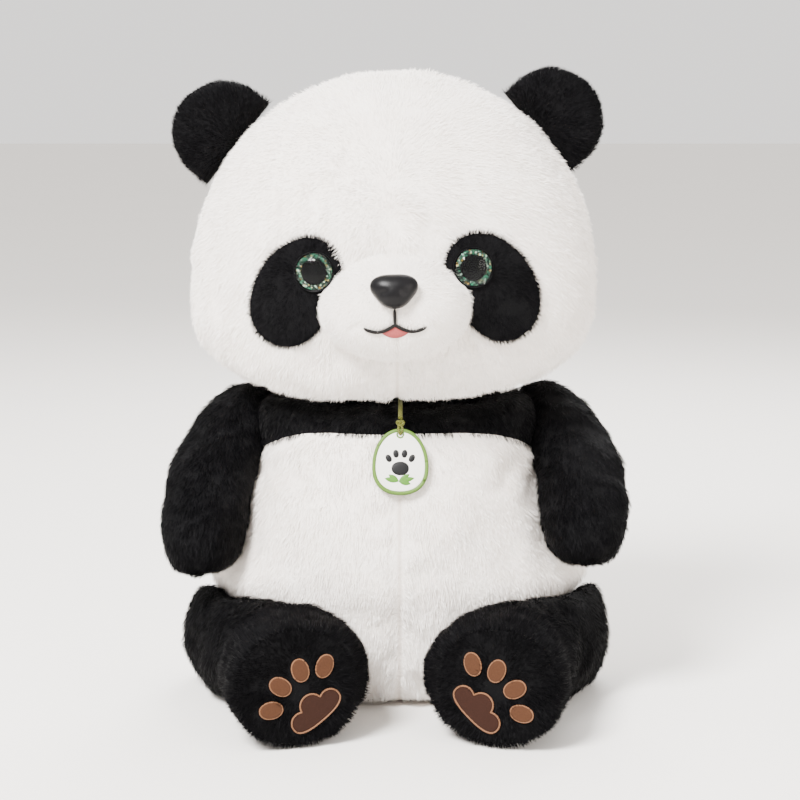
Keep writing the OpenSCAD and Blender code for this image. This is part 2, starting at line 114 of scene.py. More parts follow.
def curve_rows(keys, count):
    """Rows on a Catmull-Rom curve through the key rows, evened out by the distance between them."""
    keys = np.asarray(keys, float)
    s = np.linspace(0, len(keys) - 1, 60 * len(keys))
    i = np.minimum(s.astype(int), len(keys) - 2)
    f = (s - i)[:, None]
    a, b, c, d = (keys[np.clip(i + k, 0, len(keys) - 1)] for k in (-1, 0, 1, 2))
    rows = 0.5 * (2 * b + (c - a) * f + (2 * a - 5 * b + 4 * c - d) * f ** 2
                  + (3 * b - a - 3 * c + d) * f ** 3)
    return evened(rows, count)


def evened(rows, count):
    """The same curve with its rows at even steps of length."""
    run = np.concatenate([[0], np.cumsum(np.linalg.norm(np.diff(rows, axis=0), axis=1))])
    at = np.linspace(0, run[-1], count)
    return np.stack([np.interp(at, run, rows[:, k]) for k in range(rows.shape[1])], 1)


# ---- Meshes ----

def new_object(name, points, faces, finish=None, smooth=True):
    """An object from points and a list of face index arrays, each array with faces of one size."""
    mesh = bpy.data.meshes.new(name)
    mesh.vertices.add(len(points))
    mesh.vertices.foreach_set("co", np.asarray(points, np.float32).ravel())
    loops = np.concatenate([f.ravel() for f in faces]).astype(np.int32)
    sizes = np.concatenate([np.full(len(f), f.shape[1]) for f in faces])
    mesh.loops.add(len(loops))
    mesh.loops.foreach_set("vertex_index", loops)
    mesh.polygons.add(len(sizes))
    mesh.polygons.foreach_set("loop_start", (np.cumsum(sizes) - sizes).astype(np.int32))
    mesh.polygons.foreach_set("use_smooth", np.full(len(sizes), smooth))
    mesh.update(calc_edges=True)
    obj = bpy.data.objects.new(name, mesh)
    bpy.context.scene.collection.objects.link(obj)
    for material in finish if isinstance(finish, (list, tuple)) else [finish]:
        if material:
            mesh.materials.append(material)
    return obj


def signed_volume(points, faces):
    """Volume inside closed faces, positive where they point outwards."""
    total = 0.0
    for f in faces:
        a = points[f[:, 0]]
        for k in range(1, f.shape[1] - 1):
            total += np.einsum("ij,ij->i", a, np.cross(points[f[:, k]], points[f[:, k + 1]])).sum() / 6
    return total


def skin_faces(m, n):
    """Faces of m rings of n points, numbered after the first pole and closed by a last pole."""
    i, j = np.meshgrid(np.arange(m - 1), np.arange(n), indexing="ij")
    k = (j + 1) % n
    quads = np.stack([1 + i * n + j, 1 + i * n + k, 1 + (i + 1) * n + k, 1 + (i + 1) * n + j], -1)
    j = np.arange(n)
    k = (j + 1) % n
    first = np.stack([0 * j, 1 + k, 1 + j], -1)
    end = 1 + (m - 1) * n
    last = np.stack([end + j, end + k, 0 * j + end + n], -1)
    return [quads.reshape(-1, 4), first, last]


class Skin:
    """A closed form of rings between two poles, as fur cloth is sewn and stuffed."""

    def __init__(self, rings, first, last):
        self.m, self.n = rings.shape[:2]
        self.points = np.concatenate([[first], rings.reshape(-1, 3), [last]])
        self.faces = skin_faces(self.m, self.n)
        if signed_volume(self.points, self.faces) < 0:
            self.faces = [f[:, ::-1] for f in self.faces]

    def normals(self):
        """Unit normals at the points, from the sum of the normals of the faces around each."""
        total = np.zeros_like(self.points)
        for f in self.faces:
            p = self.points[f]
            face = np.cross(p[:, 2] - p[:, 0], p[:, -1] - p[:, 1])
            for k in range(f.shape[1]):
                np.add.at(total, f[:, k], face)
        return unit(total)

    def moved(self, amount):
        """Every point moved out along its normal by amount, in the units of the points."""
        self.points = self.points + self.normals() * np.asarray(amount)[:, None]
        return self

    def puffed(self, pinned, cap):
        """A short cloth run with air inside: pinned points stay, and none moves further than cap."""
        obj = new_object("puff", self.points, self.faces)
        group = obj.vertex_groups.new(name="seams")
        group.add(np.flatnonzero(pinned).tolist(), 1.0, "REPLACE")
        cloth = obj.modifiers.new("cloth", "CLOTH")
        cloth.settings.quality = 4
        cloth.settings.use_pressure = True
        cloth.settings.uniform_pressure_force = 4.0
        cloth.settings.vertex_group_mass = "seams"
        cloth.settings.effector_weights.gravity = 0
        cloth.settings.shrink_min = -0.03
        cloth.collision_settings.use_collision = False
        for f in range(1, 21):
            bpy.context.scene.frame_set(f)
        graph = bpy.context.evaluated_depsgraph_get()
        mesh = obj.evaluated_get(graph).to_mesh()
        after = np.empty(len(self.points) * 3, np.float32)
        mesh.vertices.foreach_get("co", after)
        obj.evaluated_get(graph).to_mesh_clear()
        bpy.data.objects.remove(obj)
        bpy.context.scene.frame_set(1)
        move = after.reshape(-1, 3) - self.points
        far = np.maximum(np.linalg.norm(move, axis=1, keepdims=True), 1e-9)
        self.points = self.points + move * (cap * np.tanh(far / cap) / far)
        return self

    def made(self, name, finish, levels=1):
        """The finished object, with live subdivision to a number of levels."""
        obj = new_object(name, self.points, self.faces, finish)
        if levels:
            rounder = obj.modifiers.new("rounder", "SUBSURF")
            rounder.levels = rounder.render_levels = levels
        return obj


def ringed(rows, u, v, n, count):
    """Superellipse rings: about row points, a along u and b along v, with exponent n."""
    t = np.linspace(0, 2 * math.pi, count, endpoint=False)
    c, s = spow(np.cos(t), 2 / n), spow(np.sin(t), 2 / n)
    u = np.broadcast_to(np.asarray(u, float), (len(rows), 3))
    v = np.broadcast_to(np.asarray(v, float), (len(rows), 3))
    return (rows[:, None, :3] + rows[:, 3, None, None] * c[None, :, None] * u[:, None]
            + rows[:, 4, None, None] * s[None, :, None] * v[:, None])


# ---- Fur ----

# Each fur: blades to a square centimetre, their length and their width in millimetres
FURS = {"head": (66, 5.2, 0.34), "muzzle": (105, 3.6, 0.30), "patch": (130, 4.4, 0.34),
        "ear": (120, 5.5, 0.36), "belly": (62, 5.4, 0.36), "yoke": (90, 6.0, 0.38),
        "tail": (60, 7.0, 0.42), "arm": (105, 6.0, 0.38), "sole": (130, 5.4, 0.36),
        "leg": (100, 6.6, 0.38)}


def strands(name, skin, finish, fur, comb, rise, wild, seed, keep=None):
    """Tapered blades of three triangles rooted evenly over a skin.

    Each blade starts along normal * rise + comb, bends over towards the comb, and leans with its
    neighbours by smooth noise, so that the pile lies in soft tufts.
    """
    per_cm2, length, width = FURS[fur][0], FURS[fur][1] * MM, FURS[fur][2] * MM
    rng = np.random.default_rng(seed)
    quads = skin.faces[0]
    p, normals = skin.points, skin.normals()
    a, b, c, d = (p[quads[:, k]] for k in range(4))
    area = np.linalg.norm(np.cross(c - a, d - b), axis=1) / 2
    count = int(area.sum() * 1e4 * per_cm2)
    run = np.cumsum(area) / area.sum()
    cell = np.searchsorted(run, (np.arange(count) + rng.random(count)) / count).clip(0, len(area) - 1)
    s, t = rng.random((2, count, 1))
    weights = [(1 - s) * (1 - t), s * (1 - t), s * t, (1 - s) * t]
    root = sum(w * p[quads[cell, k]] for k, w in enumerate(weights))
    out = unit(sum(w * normals[quads[cell, k]] for k, w in enumerate(weights)))
    if keep is not None:
        kept = keep(root, out)
        root, out = root[kept], out[kept]
        count = len(root)
    flow = comb(root, out)
    flow = unit(flow - (flow * out).sum(1, keepdims=True) * out)
    tuft = np.stack([lumps(root, 0.016, seed + k) + 0.7 * lumps(root, 0.006, seed + 10 + k)
                     for k in (1, 2, 3)], 1)
    start = unit(out * rise + flow + wild * (tuft + rng.normal(size=(count, 3)) * 0.7))
    under = (start * out).sum(1, keepdims=True)
    start = unit(start + out * np.maximum(0.15 - under, 0))
    bent = unit(start + flow * 0.45 + rng.normal(size=(count, 3)) * 0.12 - np.array([0, 0, 0.15]))
    long = (length * (0.72 + 0.12 * lumps(root, 0.03, seed + 20) + 0.36 * rng.random(count)))[:, None]
    roll = rng.normal(size=(count, 1)) * 0.35
    flat = unit(np.cross(start, out))
    across = flat * np.cos(roll) + np.cross(start, flat) * np.sin(roll)
    across *= np.sign((np.cross(across, start) * out).sum(1, keepdims=True))
    half = width / 2 * (0.8 + 0.4 * rng.random((count, 1)))
    foot = root - out * 0.0006
    middle = foot + start * long * 0.5
    end = middle + bent * long * 0.5
    blades = np.stack([foot - across * half, foot + across * half, middle + across * half * 0.85,
                       middle - across * half * 0.85, end], 1)
    blades[..., 2] = np.maximum(blades[..., 2], 0.2 * MM)
    shades = rng.integers(0, len(finish), count)
    return split_fur(name, blades, shades, finish)


def split_fur(name, blades, shades, finish, most=62000):
    """Objects of at most most blades each: a quad from the foot to the middle, a triangle to the tip."""
    made = []
    parts = max(1, math.ceil(len(blades) / most))
    for k, (part, shade) in enumerate(zip(np.array_split(blades, parts), np.array_split(shades, parts))):
        base = np.arange(len(part))[:, None] * 5
        faces = [base + np.array([0, 1, 2, 3]), base + np.array([3, 2, 4])]
        label = name if parts == 1 else f"{name}_{k + 1}"
        obj = new_object(label, part.reshape(-1, 3), faces, finish)
        obj.data.polygons.foreach_set("material_index", np.concatenate([shade, shade]).astype(np.int32))
        made.append(obj)
    return made


# ---- Shader maths ----

class Value:
    """A shader socket that Python's operators work on: each one adds a Math node."""

    def __init__(self, tree, socket):
        self.tree, self.socket = tree, socket

    def maths(self, operation, *terms):
        node = self.tree.nodes.new("ShaderNodeMath")
        node.operation = operation
        for slot, term in enumerate(terms):
            if isinstance(term, Value):
                self.tree.links.new(term.socket, node.inputs[slot])
            else:
                node.inputs[slot].default_value = term
        return Value(self.tree, node.outputs[0])

    def __add__(self, other):
        return self.maths("ADD", self, other)

    def __sub__(self, other):
        return self.maths("SUBTRACT", self, other)

    def __rsub__(self, other):
        return self.maths("SUBTRACT", other, self)

    def __mul__(self, other):
        return self.maths("MULTIPLY", self, other)

    def __truediv__(self, other):
        return self.maths("DIVIDE", self, other)

    def __pow__(self, other):
        return self.maths("POWER", self, other)

    def __neg__(self):
        return self.maths("MULTIPLY", self, -1.0)

    def __abs__(self):
        return self.maths("ABSOLUTE", self)

    def __lt__(self, other):
        return self.maths("LESS_THAN", self, other)

    def __gt__(self, other):
        return self.maths("GREATER_THAN", self, other)

    def clamped(self):
        return self.maths("MINIMUM", self.maths("MAXIMUM", self, 0.0), 1.0)

    def exp(self):
        return self.maths("EXPONENT", self)


class Finish:
    """A material around one Principled shader, with what varies linked into it."""

    def __init__(self, name, **constants):
        self.material = bpy.data.materials.new(name)
        self.material.use_nodes = True
        self.tree = self.material.node_tree
        self.shader = self.tree.nodes["Principled BSDF"]
        for key, value in constants.items():
            self.shader.inputs[key.replace("_", " ").title().replace("Ior", "IOR")].default_value = value

    def add(self, kind, settings=None, values=None, output=0):
        """A node of a type, with its settings made first and then its sockets' values or links."""
        node = self.tree.nodes.new(kind)
        for key, value in (settings or {}).items():
            if key == "stops":
                ramp = node.color_ramp
                while len(ramp.elements) < len(value):
                    ramp.elements.new(0.5)
                for element, (position, colour) in zip(ramp.elements, value):
                    element.position, element.color = position, (*colour, 1)
            else:
                setattr(node, key, value)
        for key, value in (values or {}).items():
            if isinstance(value, Value):
                self.tree.links.new(value.socket, node.inputs[key])
            else:
                node.inputs[key].default_value = value
        return Value(self.tree, node.outputs[output])

    def place(self):
        """Where a point lies, in object coordinates."""
        return self.add("ShaderNodeTexCoord", output="Object")

    def axes(self):
        """The x, y and z of a point, as three values."""
        split = self.add("ShaderNodeSeparateXYZ", values={"Vector": self.place()})
        node = split.socket.node
        return [Value(self.tree, node.outputs[k]) for k in range(3)]

    def noise(self, scale, detail=3.0, rough=0.55):
        values = {"Vector": self.place(), "Scale": scale, "Detail": detail, "Roughness": rough}
        return self.add("ShaderNodeTexNoise", values=values)

    def mix(self, factor, first, second):
        """A colour between two, each a triple or a colour value."""
        node = self.add("ShaderNodeMix", {"data_type": "RGBA"}, {0: factor}).socket.node
        for slot, colour in ((6, first), (7, second)):
            if isinstance(colour, Value):
                self.tree.links.new(colour.socket, node.inputs[slot])
            else:
                node.inputs[slot].default_value = (*colour, 1)
        return Value(self.tree, node.outputs[2])

    def bump(self, height, distance, strength=1.0):
        values = {"Height": height, "Distance": distance, "Strength": strength}
        return self.add("ShaderNodeBump", values=values)

    def feed(self, **sockets):
        for key, value in sockets.items():
            self.tree.links.new(value.socket, self.shader.inputs[key.replace("_", " ").title()])
        return self.material


# ---- Finishes ----

PALE = (0.86, 0.81, 0.76)
PALE_DEEP = (0.79, 0.725, 0.665)
DARK = (0.0010, 0.0010, 0.0013)
DARK_SOFT = (0.0018, 0.0017, 0.0021)


def set_socket(finish, name, value):
    """A constant on one of the shader's own sockets."""
    finish.shader.inputs[name].default_value = value


def plain(name, colour, rough, sheen):
    """A strand finish: one colour all over, because a hair shows no pattern of its own."""
    made = Finish(name, base_color=(*colour, 1), roughness=rough, sheen_weight=sheen, sheen_roughness=0.4)
    set_socket(made, "Specular IOR Level", 0.03)
    return made.material


def pile(name, colour, deep, sheen=0.2):
    """The backing and low pile of a fur cloth: its finish, mottled colour and fine bump height."""
    made = Finish(name, roughness=0.95, sheen_weight=sheen, sheen_roughness=0.5)
    set_socket(made, "Specular IOR Level", 0.1)
    mottle = (made.noise(38.0, 4.0) - 0.32) * 2.4
    return made, made.mix(mottle.clamped(), deep, colour), made.noise(420.0, 2.0)


# Painted shade laid into the pale cloth where it folds into a seam
SEAM_SHADE = (0.50, 0.42, 0.36)


def pale_pile():
    """Pale cloth, with painted shade where the cloth folds into the seam down the middle of the front."""
    made, colour, fine = pile("pale_pile", PALE, PALE_DEEP)
    x, y, z = made.axes()
    seam_shade_mask = (-((abs(x) / 0.0012) ** 2.0)).exp() * (y < -0.02) * (z < 0.262)
    return made.feed(base_color=made.mix(seam_shade_mask * 0.5, colour, SEAM_SHADE),
                     normal=made.bump(fine, 0.0012, 0.7))


def dark_pile():
    """Dark cloth of the ears, arms, legs, soles and eye patches."""
    made, colour, fine = pile("dark_pile", DARK_SOFT, DARK, 0.01)
    return made.feed(base_color=colour, normal=made.bump(fine, 0.0012, 0.7))


YOKE_Z, YOKE_FALL, YOKE_HALF, YOKE_BEND = 185.0, 22.0, 97.0, 5.0
BELLY_SEAM_X = 1.5


def torso_pile():
    """Pale belly cloth and dark yoke cloth, which meet on the yoke seam, with painted shade along the belly
    seam.
    """
    made, pale, fine = pile("torso_pile", PALE, PALE_DEEP, 0.05)
    x, y, z = made.axes()
    seam_shade_mask = (-((abs(x - BELLY_SEAM_X * MM) / 0.0016) ** 2.0)).exp() * (y < 0.0)
    seam = YOKE_Z * MM - (abs(x) / (YOKE_HALF * MM)) ** YOKE_BEND * (YOKE_FALL * MM)
    colour = made.mix(z > seam, made.mix(seam_shade_mask * 0.6, pale, SEAM_SHADE), DARK)
    return made.feed(base_color=colour, normal=made.bump(fine, 0.0012, 0.7))


def moulded(name, colour, rough, spec=0.4):
    """Moulded plastic: a faint orange-peel grain, and gloss that varies a little."""
    made = Finish(name)
    set_socket(made, "Specular IOR Level", spec)
    patch = made.noise(90.0)
    lighter = tuple(min(1.0, c * 1.35 + 0.004) for c in colour)
    return made.feed(base_color=made.mix(patch, colour, lighter), roughness=patch * 0.16 + (rough - 0.08),
                     normal=made.bump(made.noise(900.0, 2.0), 0.00005, 0.5))


def stitched(name, colour, deep, angle, pitch=0.0009):
    """Satin stitch: rows of thread side by side, with a painted highlight on top of each row and painted
    shade between the rows.
    """
    made = Finish(name, sheen_weight=0.03, sheen_roughness=0.35)
    set_socket(made, "Specular IOR Level", 0.2)
    turn = made.add("ShaderNodeMapping", {"vector_type": "POINT"},
                    {"Vector": made.place(), "Rotation": angle})
    rows = made.add("ShaderNodeTexWave", {"wave_type": "BANDS", "bands_direction": "X"},
                    {"Vector": turn, "Scale": 0.314 / pitch, "Distortion": 0.6, "Detail": 1.0,
                     "Detail Scale": 3.0}, output=1)
    # Painted highlight and shade: row tops take colour, the gaps between rows take deep, with some random
    # tone from the noise
    shade = made.mix((rows * 0.75 + made.noise(240.0) * 0.4).clamped(), deep, colour)
    return made.feed(base_color=shade, roughness=rows * -0.12 + 0.54, normal=made.bump(rows, 0.00025, 0.8))


def glitter_film():
    """Glitter film: small cells, most of them green, some gold or silver, each tilted its own way; the film
    also glows faintly in its cells' colours, which is painted light.
    """
    made = Finish("glitter_film", metallic=0.4)
    cells = made.add("ShaderNodeTexVoronoi", {"feature": "F1"},
                     {"Vector": made.place(), "Scale": 1200.0}, output="Color")
    pick = made.add("ShaderNodeSeparateColor", values={"Color": cells})
    tilt = Value(made.tree, pick.socket.node.outputs[1])
    colour = made.add("ShaderNodeValToRGB", {"stops": [
        (0.0, (0.0004, 0.002, 0.0015)), (0.5, (0.001, 0.008, 0.005)), (0.66, (0.004, 0.045, 0.024)),
        (0.78, (0.02, 0.22, 0.11)), (0.84, (0.001, 0.010, 0.006)), (0.9, (0.50, 0.30, 0.04)),
        (0.95, (0.50, 0.75, 0.60)), (1.0, (0.002, 0.010, 0.012))]}, {"Fac": pick})
    # Painted light: a faint glow in the cells' own colours brightens the film under the dome
    set_socket(made, "Emission Strength", 0.3)
    return made.feed(base_color=colour, roughness=tilt * 0.4 + 0.12, emission_color=colour,
                     normal=made.bump(tilt, 0.0005, 1.0))


def clear_dome():
    """Clear acrylic: nearly all seen through, with a bright gloss."""
    made = Finish("clear_dome", base_color=(0.0, 0.0, 0.0, 1), roughness=0.03, coat_weight=0.5,
                  coat_roughness=0.02, alpha=0.09)
    set_socket(made, "Specular IOR Level", 0.5)
    return made.material


def wadding():
    """Loose polyester filling: white fibre clumps."""
    made = Finish("wadding", roughness=1.0, sheen_weight=0.3)
    clump = made.noise(60.0, 6.0, 0.7)
    return made.feed(base_color=made.mix(clump, (0.8, 0.8, 0.79), (0.95, 0.95, 0.94)),
                     normal=made.bump(clump, 0.004, 0.8))


def felt(name, colour, deep):
    """Matt felt of short crossed fibres."""
    made = Finish(name, roughness=0.9, sheen_weight=0.04)
    set_socket(made, "Specular IOR Level", 0.12)
    fibre = made.noise(900.0, 4.0, 0.7)
    return made.feed(base_color=made.mix(fibre, deep, colour), normal=made.bump(fibre, 0.0003, 0.8))


def card(name, colour, deep, rough=0.5):
    """Printed card with a faint paper grain."""
    made = Finish(name)
    set_socket(made, "Specular IOR Level", 0.2)
    grain = made.noise(700.0, 5.0, 0.6)
    return made.feed(base_color=made.mix(grain, deep, colour), roughness=grain * 0.15 + (rough - 0.07),
                     normal=made.bump(grain, 0.00006, 0.6))


def cord_satin(name, colour, deep):
    """Braided satin cord: slanting bands of thread."""
    made = Finish(name, sheen_weight=0.04)
    set_socket(made, "Specular IOR Level", 0.25)
    turn = made.add("ShaderNodeMapping", {"vector_type": "POINT"},
                    {"Vector": made.place(), "Rotation": (0.5, 0.6, 0.0)})
    rows = made.add("ShaderNodeTexWave", {"wave_type": "BANDS", "bands_direction": "Z"},
                    {"Vector": turn, "Scale": 260.0, "Distortion": 1.0, "Detail": 1.0}, output=1)
    return made.feed(base_color=made.mix(rows, deep, colour), roughness=rows * -0.15 + 0.55,
                     normal=made.bump(rows, 0.0003, 0.8))


pale_cloth = pale_pile()
dark_cloth = dark_pile()
torso_cloth = torso_pile()
pale_hair = [plain("pale_hair_a", (0.88, 0.835, 0.79), 0.8, 0.1),
             plain("pale_hair_b", (0.84, 0.79, 0.74), 0.8, 0.1),
             plain("pale_hair_c", (0.91, 0.875, 0.84), 0.8, 0.1)]
dark_hair = [plain("dark_hair_a", (0.0016, 0.0015, 0.0019), 0.5, 0.008),
             plain("dark_hair_b", (0.0026, 0.0024, 0.0030), 0.5, 0.012),
             plain("dark_hair_c", (0.0010, 0.0010, 0.0013), 0.5, 0.006)]
nose_plastic = moulded("nose_plastic", (0.0022, 0.0020, 0.0024), 0.32, spec=0.11)
washer_plastic = moulded("washer_plastic", (0.72, 0.72, 0.70), 0.55)
pupil_plastic = moulded("pupil_plastic", (0.0008, 0.0008, 0.0010), 0.3, spec=0.02)
glitter = glitter_film()
dome = clear_dome()
filling = wadding()
# The second colour of a satin stitch is the painted shade between its rows
mouth_silk = stitched("mouth_silk", (0.0035, 0.0024, 0.0020), (0.001, 0.0007, 0.0007), (0, 0, 0), 0.0008)
tongue_felt = felt("tongue_felt", (0.36, 0.080, 0.078), (0.22, 0.042, 0.042))
tag_green = card("tag_green", (0.085, 0.165, 0.022), (0.065, 0.13, 0.017), 0.4)
tag_white = card("tag_white", (0.74, 0.73, 0.68), (0.68, 0.67, 0.62))
tag_dark = card("tag_dark", (0.0025, 0.0025, 0.003), (0.0015, 0.0015, 0.002), 0.5)
tag_leaf = card("tag_leaf", (0.07, 0.19, 0.02), (0.05, 0.14, 0.015), 0.4)
cord_silk = cord_satin("cord_silk", (0.125, 0.13, 0.016), (0.05, 0.055, 0.008))
brown_pad = felt("brown_pad", (0.024, 0.0085, 0.0046), (0.014, 0.0045, 0.0025))
toe_silk = felt("toe_silk", (0.062, 0.025, 0.0115), (0.038, 0.015, 0.0065))
# The second colour of a satin stitch is the painted shade between its rows
tan_silk = stitched("tan_silk", (0.20, 0.09, 0.042), (0.09, 0.038, 0.017), (0.0, 0.6, 0.3))


# ---- Camera, floor and light ----

def add_camera():
    """A long lens in front of the toy, looking a little down."""
    data = bpy.data.cameras.new("camera")
    data.lens, data.sensor_width = 98.1, 36
    camera = bpy.data.objects.new("camera", data)
    bpy.context.scene.collection.objects.link(camera)
    camera.location = (0.0018, -1.470, 0.421)
    camera.rotation_euler = (math.radians(90 - 8.5), 0, 0)
    bpy.context.scene.camera = camera


def add_light(name, place, aim, size, power, colour=(1, 1, 1)):
    """A round lamp at a place, turned to shine on a point."""
    data = bpy.data.lights.new(name, "AREA")
    data.shape, data.size, data.energy, data.color = "DISK", size, power, colour
    lamp = bpy.data.objects.new(name, data)
    bpy.context.scene.collection.objects.link(lamp)
    lamp.location = place
    way = np.array(aim, float) - place
    tip = math.acos(-way[2] / np.linalg.norm(way))
    lamp.rotation_euler = (tip, 0, math.atan2(way[1], way[0]) - math.pi / 2)


def add_room():
    """A wide pale floor, a pale surround and soft lamps."""
    half = 12.0
    floor = new_object("floor", np.array([[-half, -half, 0], [half, -half, 0], [half, half, 0],
                                          [-half, half, 0]]), [np.array([[0, 1, 2, 3]])])
    made = Finish("floor_paint", roughness=0.9)
    grain = made.noise(3.0, 2.0)
    floor.data.materials.append(made.feed(
        base_color=made.mix(grain, (0.87, 0.84, 0.80), (0.89, 0.86, 0.82))))
    world = bpy.data.worlds.new("surround")
    world.use_nodes = True
    world.node_tree.nodes["Background"].inputs["Color"].default_value = (1.0, 0.972, 0.945, 1)
    world.node_tree.nodes["Background"].inputs["Strength"].default_value = 1.5
    bpy.context.scene.world = world
    add_light("key", (-0.8, -1.3, 1.7), (0, 0, 0.22), 0.8, 185.0, (1, 0.99, 0.98))
    add_light("fill", (1.3, -1.2, 0.6), (0, 0, 0.2), 1.2, 18.0, (1, 0.94, 0.88))
    add_light("rim", (0.3, 1.2, 1.4), (0, 0, 0.25), 1.0, 45.0)


add_camera()
add_room()


# ---- What a piece stands for ----

def stands_for(piece, body, slot, *nodes, fill=None, joint=None):
    """The body that a piece rides and the nodes that it replaces, which are hidden; its slot and how full it
    is are not used.

    A piece given a joint as (parent, start, end) is not parented to its body: its transform is baked into its
    mesh.
    """
    if joint:
        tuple(joint[1])
        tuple(joint[2])
        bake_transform(piece)
    else:
        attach(piece, body)
    if nodes:
        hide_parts(*nodes)


def dress(objects, body, slot, joint=None):
    """The same for the objects of one fur, which replace no node."""
    for obj in objects:
        stands_for(obj, body, slot, joint=joint)


# ---- Tag cord, knot and tag ----

CORD_KEYS = [(2, -46, 204.5), (2, -52, 204.4), (2, -58, 204), (2, -64, 203.2), (2, -69.5, 202),
             (2, -74.5, 200.4), (2, -79, 198.6), (2, -82, 197.2)]
KNOT = np.array([2.0, -84.0, 193.6])
CORD_D = 2.9
TAG_W, TAG_H, TAG_LEAN, KNOT_R = 37.5, 44.0, 18.0, 3.2


def polyline_length(p):
    """The length of a line through points."""
    return float(np.linalg.norm(np.diff(p, axis=0), axis=1).sum())


def tag_cord():
    """A satin cord on one smooth curve from inside the neck seam to its knot."""
    path = body_frame(curve_rows(CORD_KEYS, 24))
    curve = bpy.data.curves.new("tag_cord_silk", "CURVE")
    curve.dimensions = "3D"
    curve.bevel_depth, curve.bevel_resolution, curve.use_fill_caps = CORD_D / 2 * MM, 4, True
    spline = curve.splines.new("POLY")
    spline.points.add(len(path) - 1)
    spline.points.foreach_set("co", np.concatenate([path, np.ones((len(path), 1))], 1).ravel())
    curve.materials.append(cord_silk)
    obj = bpy.data.objects.new("tag_cord_silk", curve)
    bpy.context.scene.collection.objects.link(obj)
    return obj, path


def sweep(path, radius, sides, closed=False):
    """Rings of a round tube along a path, square to it; radius is a number or one per point."""
    path = np.asarray(path, float)
    if closed:
        way = unit(np.roll(path, -1, 0) - np.roll(path, 1, 0))
    else:
        way = unit(np.gradient(path, axis=0))
    hint = np.where(np.abs(way[:, 1:2]) > 0.9, [[1.0, 0, 0]], [[0, 1.0, 0]])
    u = unit(np.cross(way, hint))
    v = np.cross(way, u)
    t = np.linspace(0, 2 * math.pi, sides, endpoint=False)
    r = np.broadcast_to(radius, (len(path),))[:, None, None]
    return path[:, None] + r * (np.cos(t)[None, :, None] * u[:, None] + np.sin(t)[None, :, None] * v[:, None])


def tube_skin(path, radius, sides=10):
    """A closed round tube along a path."""
    return Skin(sweep(path, radius, sides), np.asarray(path[0], float), np.asarray(path[-1], float))


def knot_piece():
    """An overhand knot: a trefoil curve, with sin t + 2 sin 2t across and cos t - 2 cos 2t up."""
    t = np.linspace(0, 2 * math.pi, 90, endpoint=False)
    trefoil = np.stack([np.sin(t) + 2 * np.sin(2 * t), -1.1 * np.sin(3 * t),
                        np.cos(t) - 2 * np.cos(2 * t)], 1)
    rings = sweep(KNOT + trefoil * 0.72, 1.05, 10, closed=True)
    m, n = rings.shape[:2]
    i, j = np.meshgrid(np.arange(m), np.arange(n), indexing="ij")
    ni, nj = (i + 1) % m, (j + 1) % n
    quads = np.stack([i * n + j, i * n + nj, ni * n + nj, ni * n + j], -1).reshape(-1, 4)
    points = body_frame(rings.reshape(-1, 3))
    if signed_volume(points, [quads]) < 0:
        quads = quads[:, ::-1]
    return new_object("tag_knot_silk", points, [quads], cord_silk)


def tag_frame(p):
    """Flat tag coordinates, x across, y up and z outwards, to the row frame: it hangs from the knot."""
    p = p + np.array([0, -TAG_H / 2 - KNOT_R - 0.2, 0])
    p = turned(turned(p, (1, 0, 0), 90), (1, 0, 0), -TAG_LEAN)
    return body_frame(p + KNOT)


def egg_line(inset, count=96):
    """The egg outline, narrower at the top, as a closed loop in the tag's plane."""
    t = np.linspace(0, 2 * math.pi, count, endpoint=False)
    slim = (1 - 0.13 * np.sin(t)) / 1.02
    return np.stack([(TAG_W / 2 - inset) * slim * spow(np.cos(t), 0.9),
                     (TAG_H / 2 - inset) * spow(np.sin(t), 0.9), 0 * t], 1)


def plate(outline, low, high, edge=0.35):
    """A flat plate between two heights with rounded edges, as rings from its back to its front."""
    middle = outline.mean(0)

    def ring(inset, z):
        way = outline - middle
        far = np.linalg.norm(way, axis=1, keepdims=True)
        return middle + way * (1 - inset / far) + np.array([0, 0, z])

    rows = [(6, low), (1.2, low), (edge, low), (edge * 0.3, low + edge * 0.3), (0, low + edge),
            (0, high - edge), (edge * 0.3, high - edge * 0.3), (edge, high), (1.2, high), (6, high)]
    rings = np.array([ring(i, z) for i, z in rows])
    return Skin(rings, middle + np.array([0, 0, low]), middle + np.array([0, 0, high]))


def leaf(at, angle, size, wide):
    """A pointed leaf: half width is wide * sin(pi s) ** 0.8 along its length, with a raised middle."""
    s = np.linspace(0.02, 0.98, 14)
    half = wide * np.sin(math.pi * s) ** 0.8
    t = np.linspace(0, 2 * math.pi, 12, endpoint=False)
    rings = np.stack([s[:, None] * size + 0 * t, half[:, None] * np.cos(t), 0.45 * half[:, None] ** 0.5
                      * np.sin(t) * 0.6], -1)
    return Skin(turned(rings, (0, 0, 1), angle) + at, np.asarray(at, float),
                turned(np.array([size, 0, 0]), (0, 0, 1), angle) + at)


def blob(at, a, b, rise, angle=0.0):
    """A low oval dome, a by b across, standing rise above its plane."""
    s = np.linspace(0.12, 1, 8)
    t = np.linspace(0, 2 * math.pi, 28, endpoint=False)
    ring = np.stack([a * spow(np.cos(t), 2 / 2.1), b * spow(np.sin(t), 2 / 2.1), 0 * t], -1)
    top = np.array([ring * k + [0, 0, rise * (1 - k ** 3)] for k in s])
    under = ring * 0.9 + [0, 0, -0.2]
    rings = np.concatenate([top, under[None]])
    return Skin(turned(rings, (0, 0, 1), angle) + at, np.array([0, 0, rise]) + at,
                np.array([0, 0, -0.2]) + at)


def in_frame(skin, carry):
    """The skin with every point carried to the row frame, and its faces outwards."""
    skin.points = carry(skin.points)
    if signed_volume(skin.points, skin.faces) < 0:
        skin.faces = [f[:, ::-1] for f in skin.faces]
    return skin


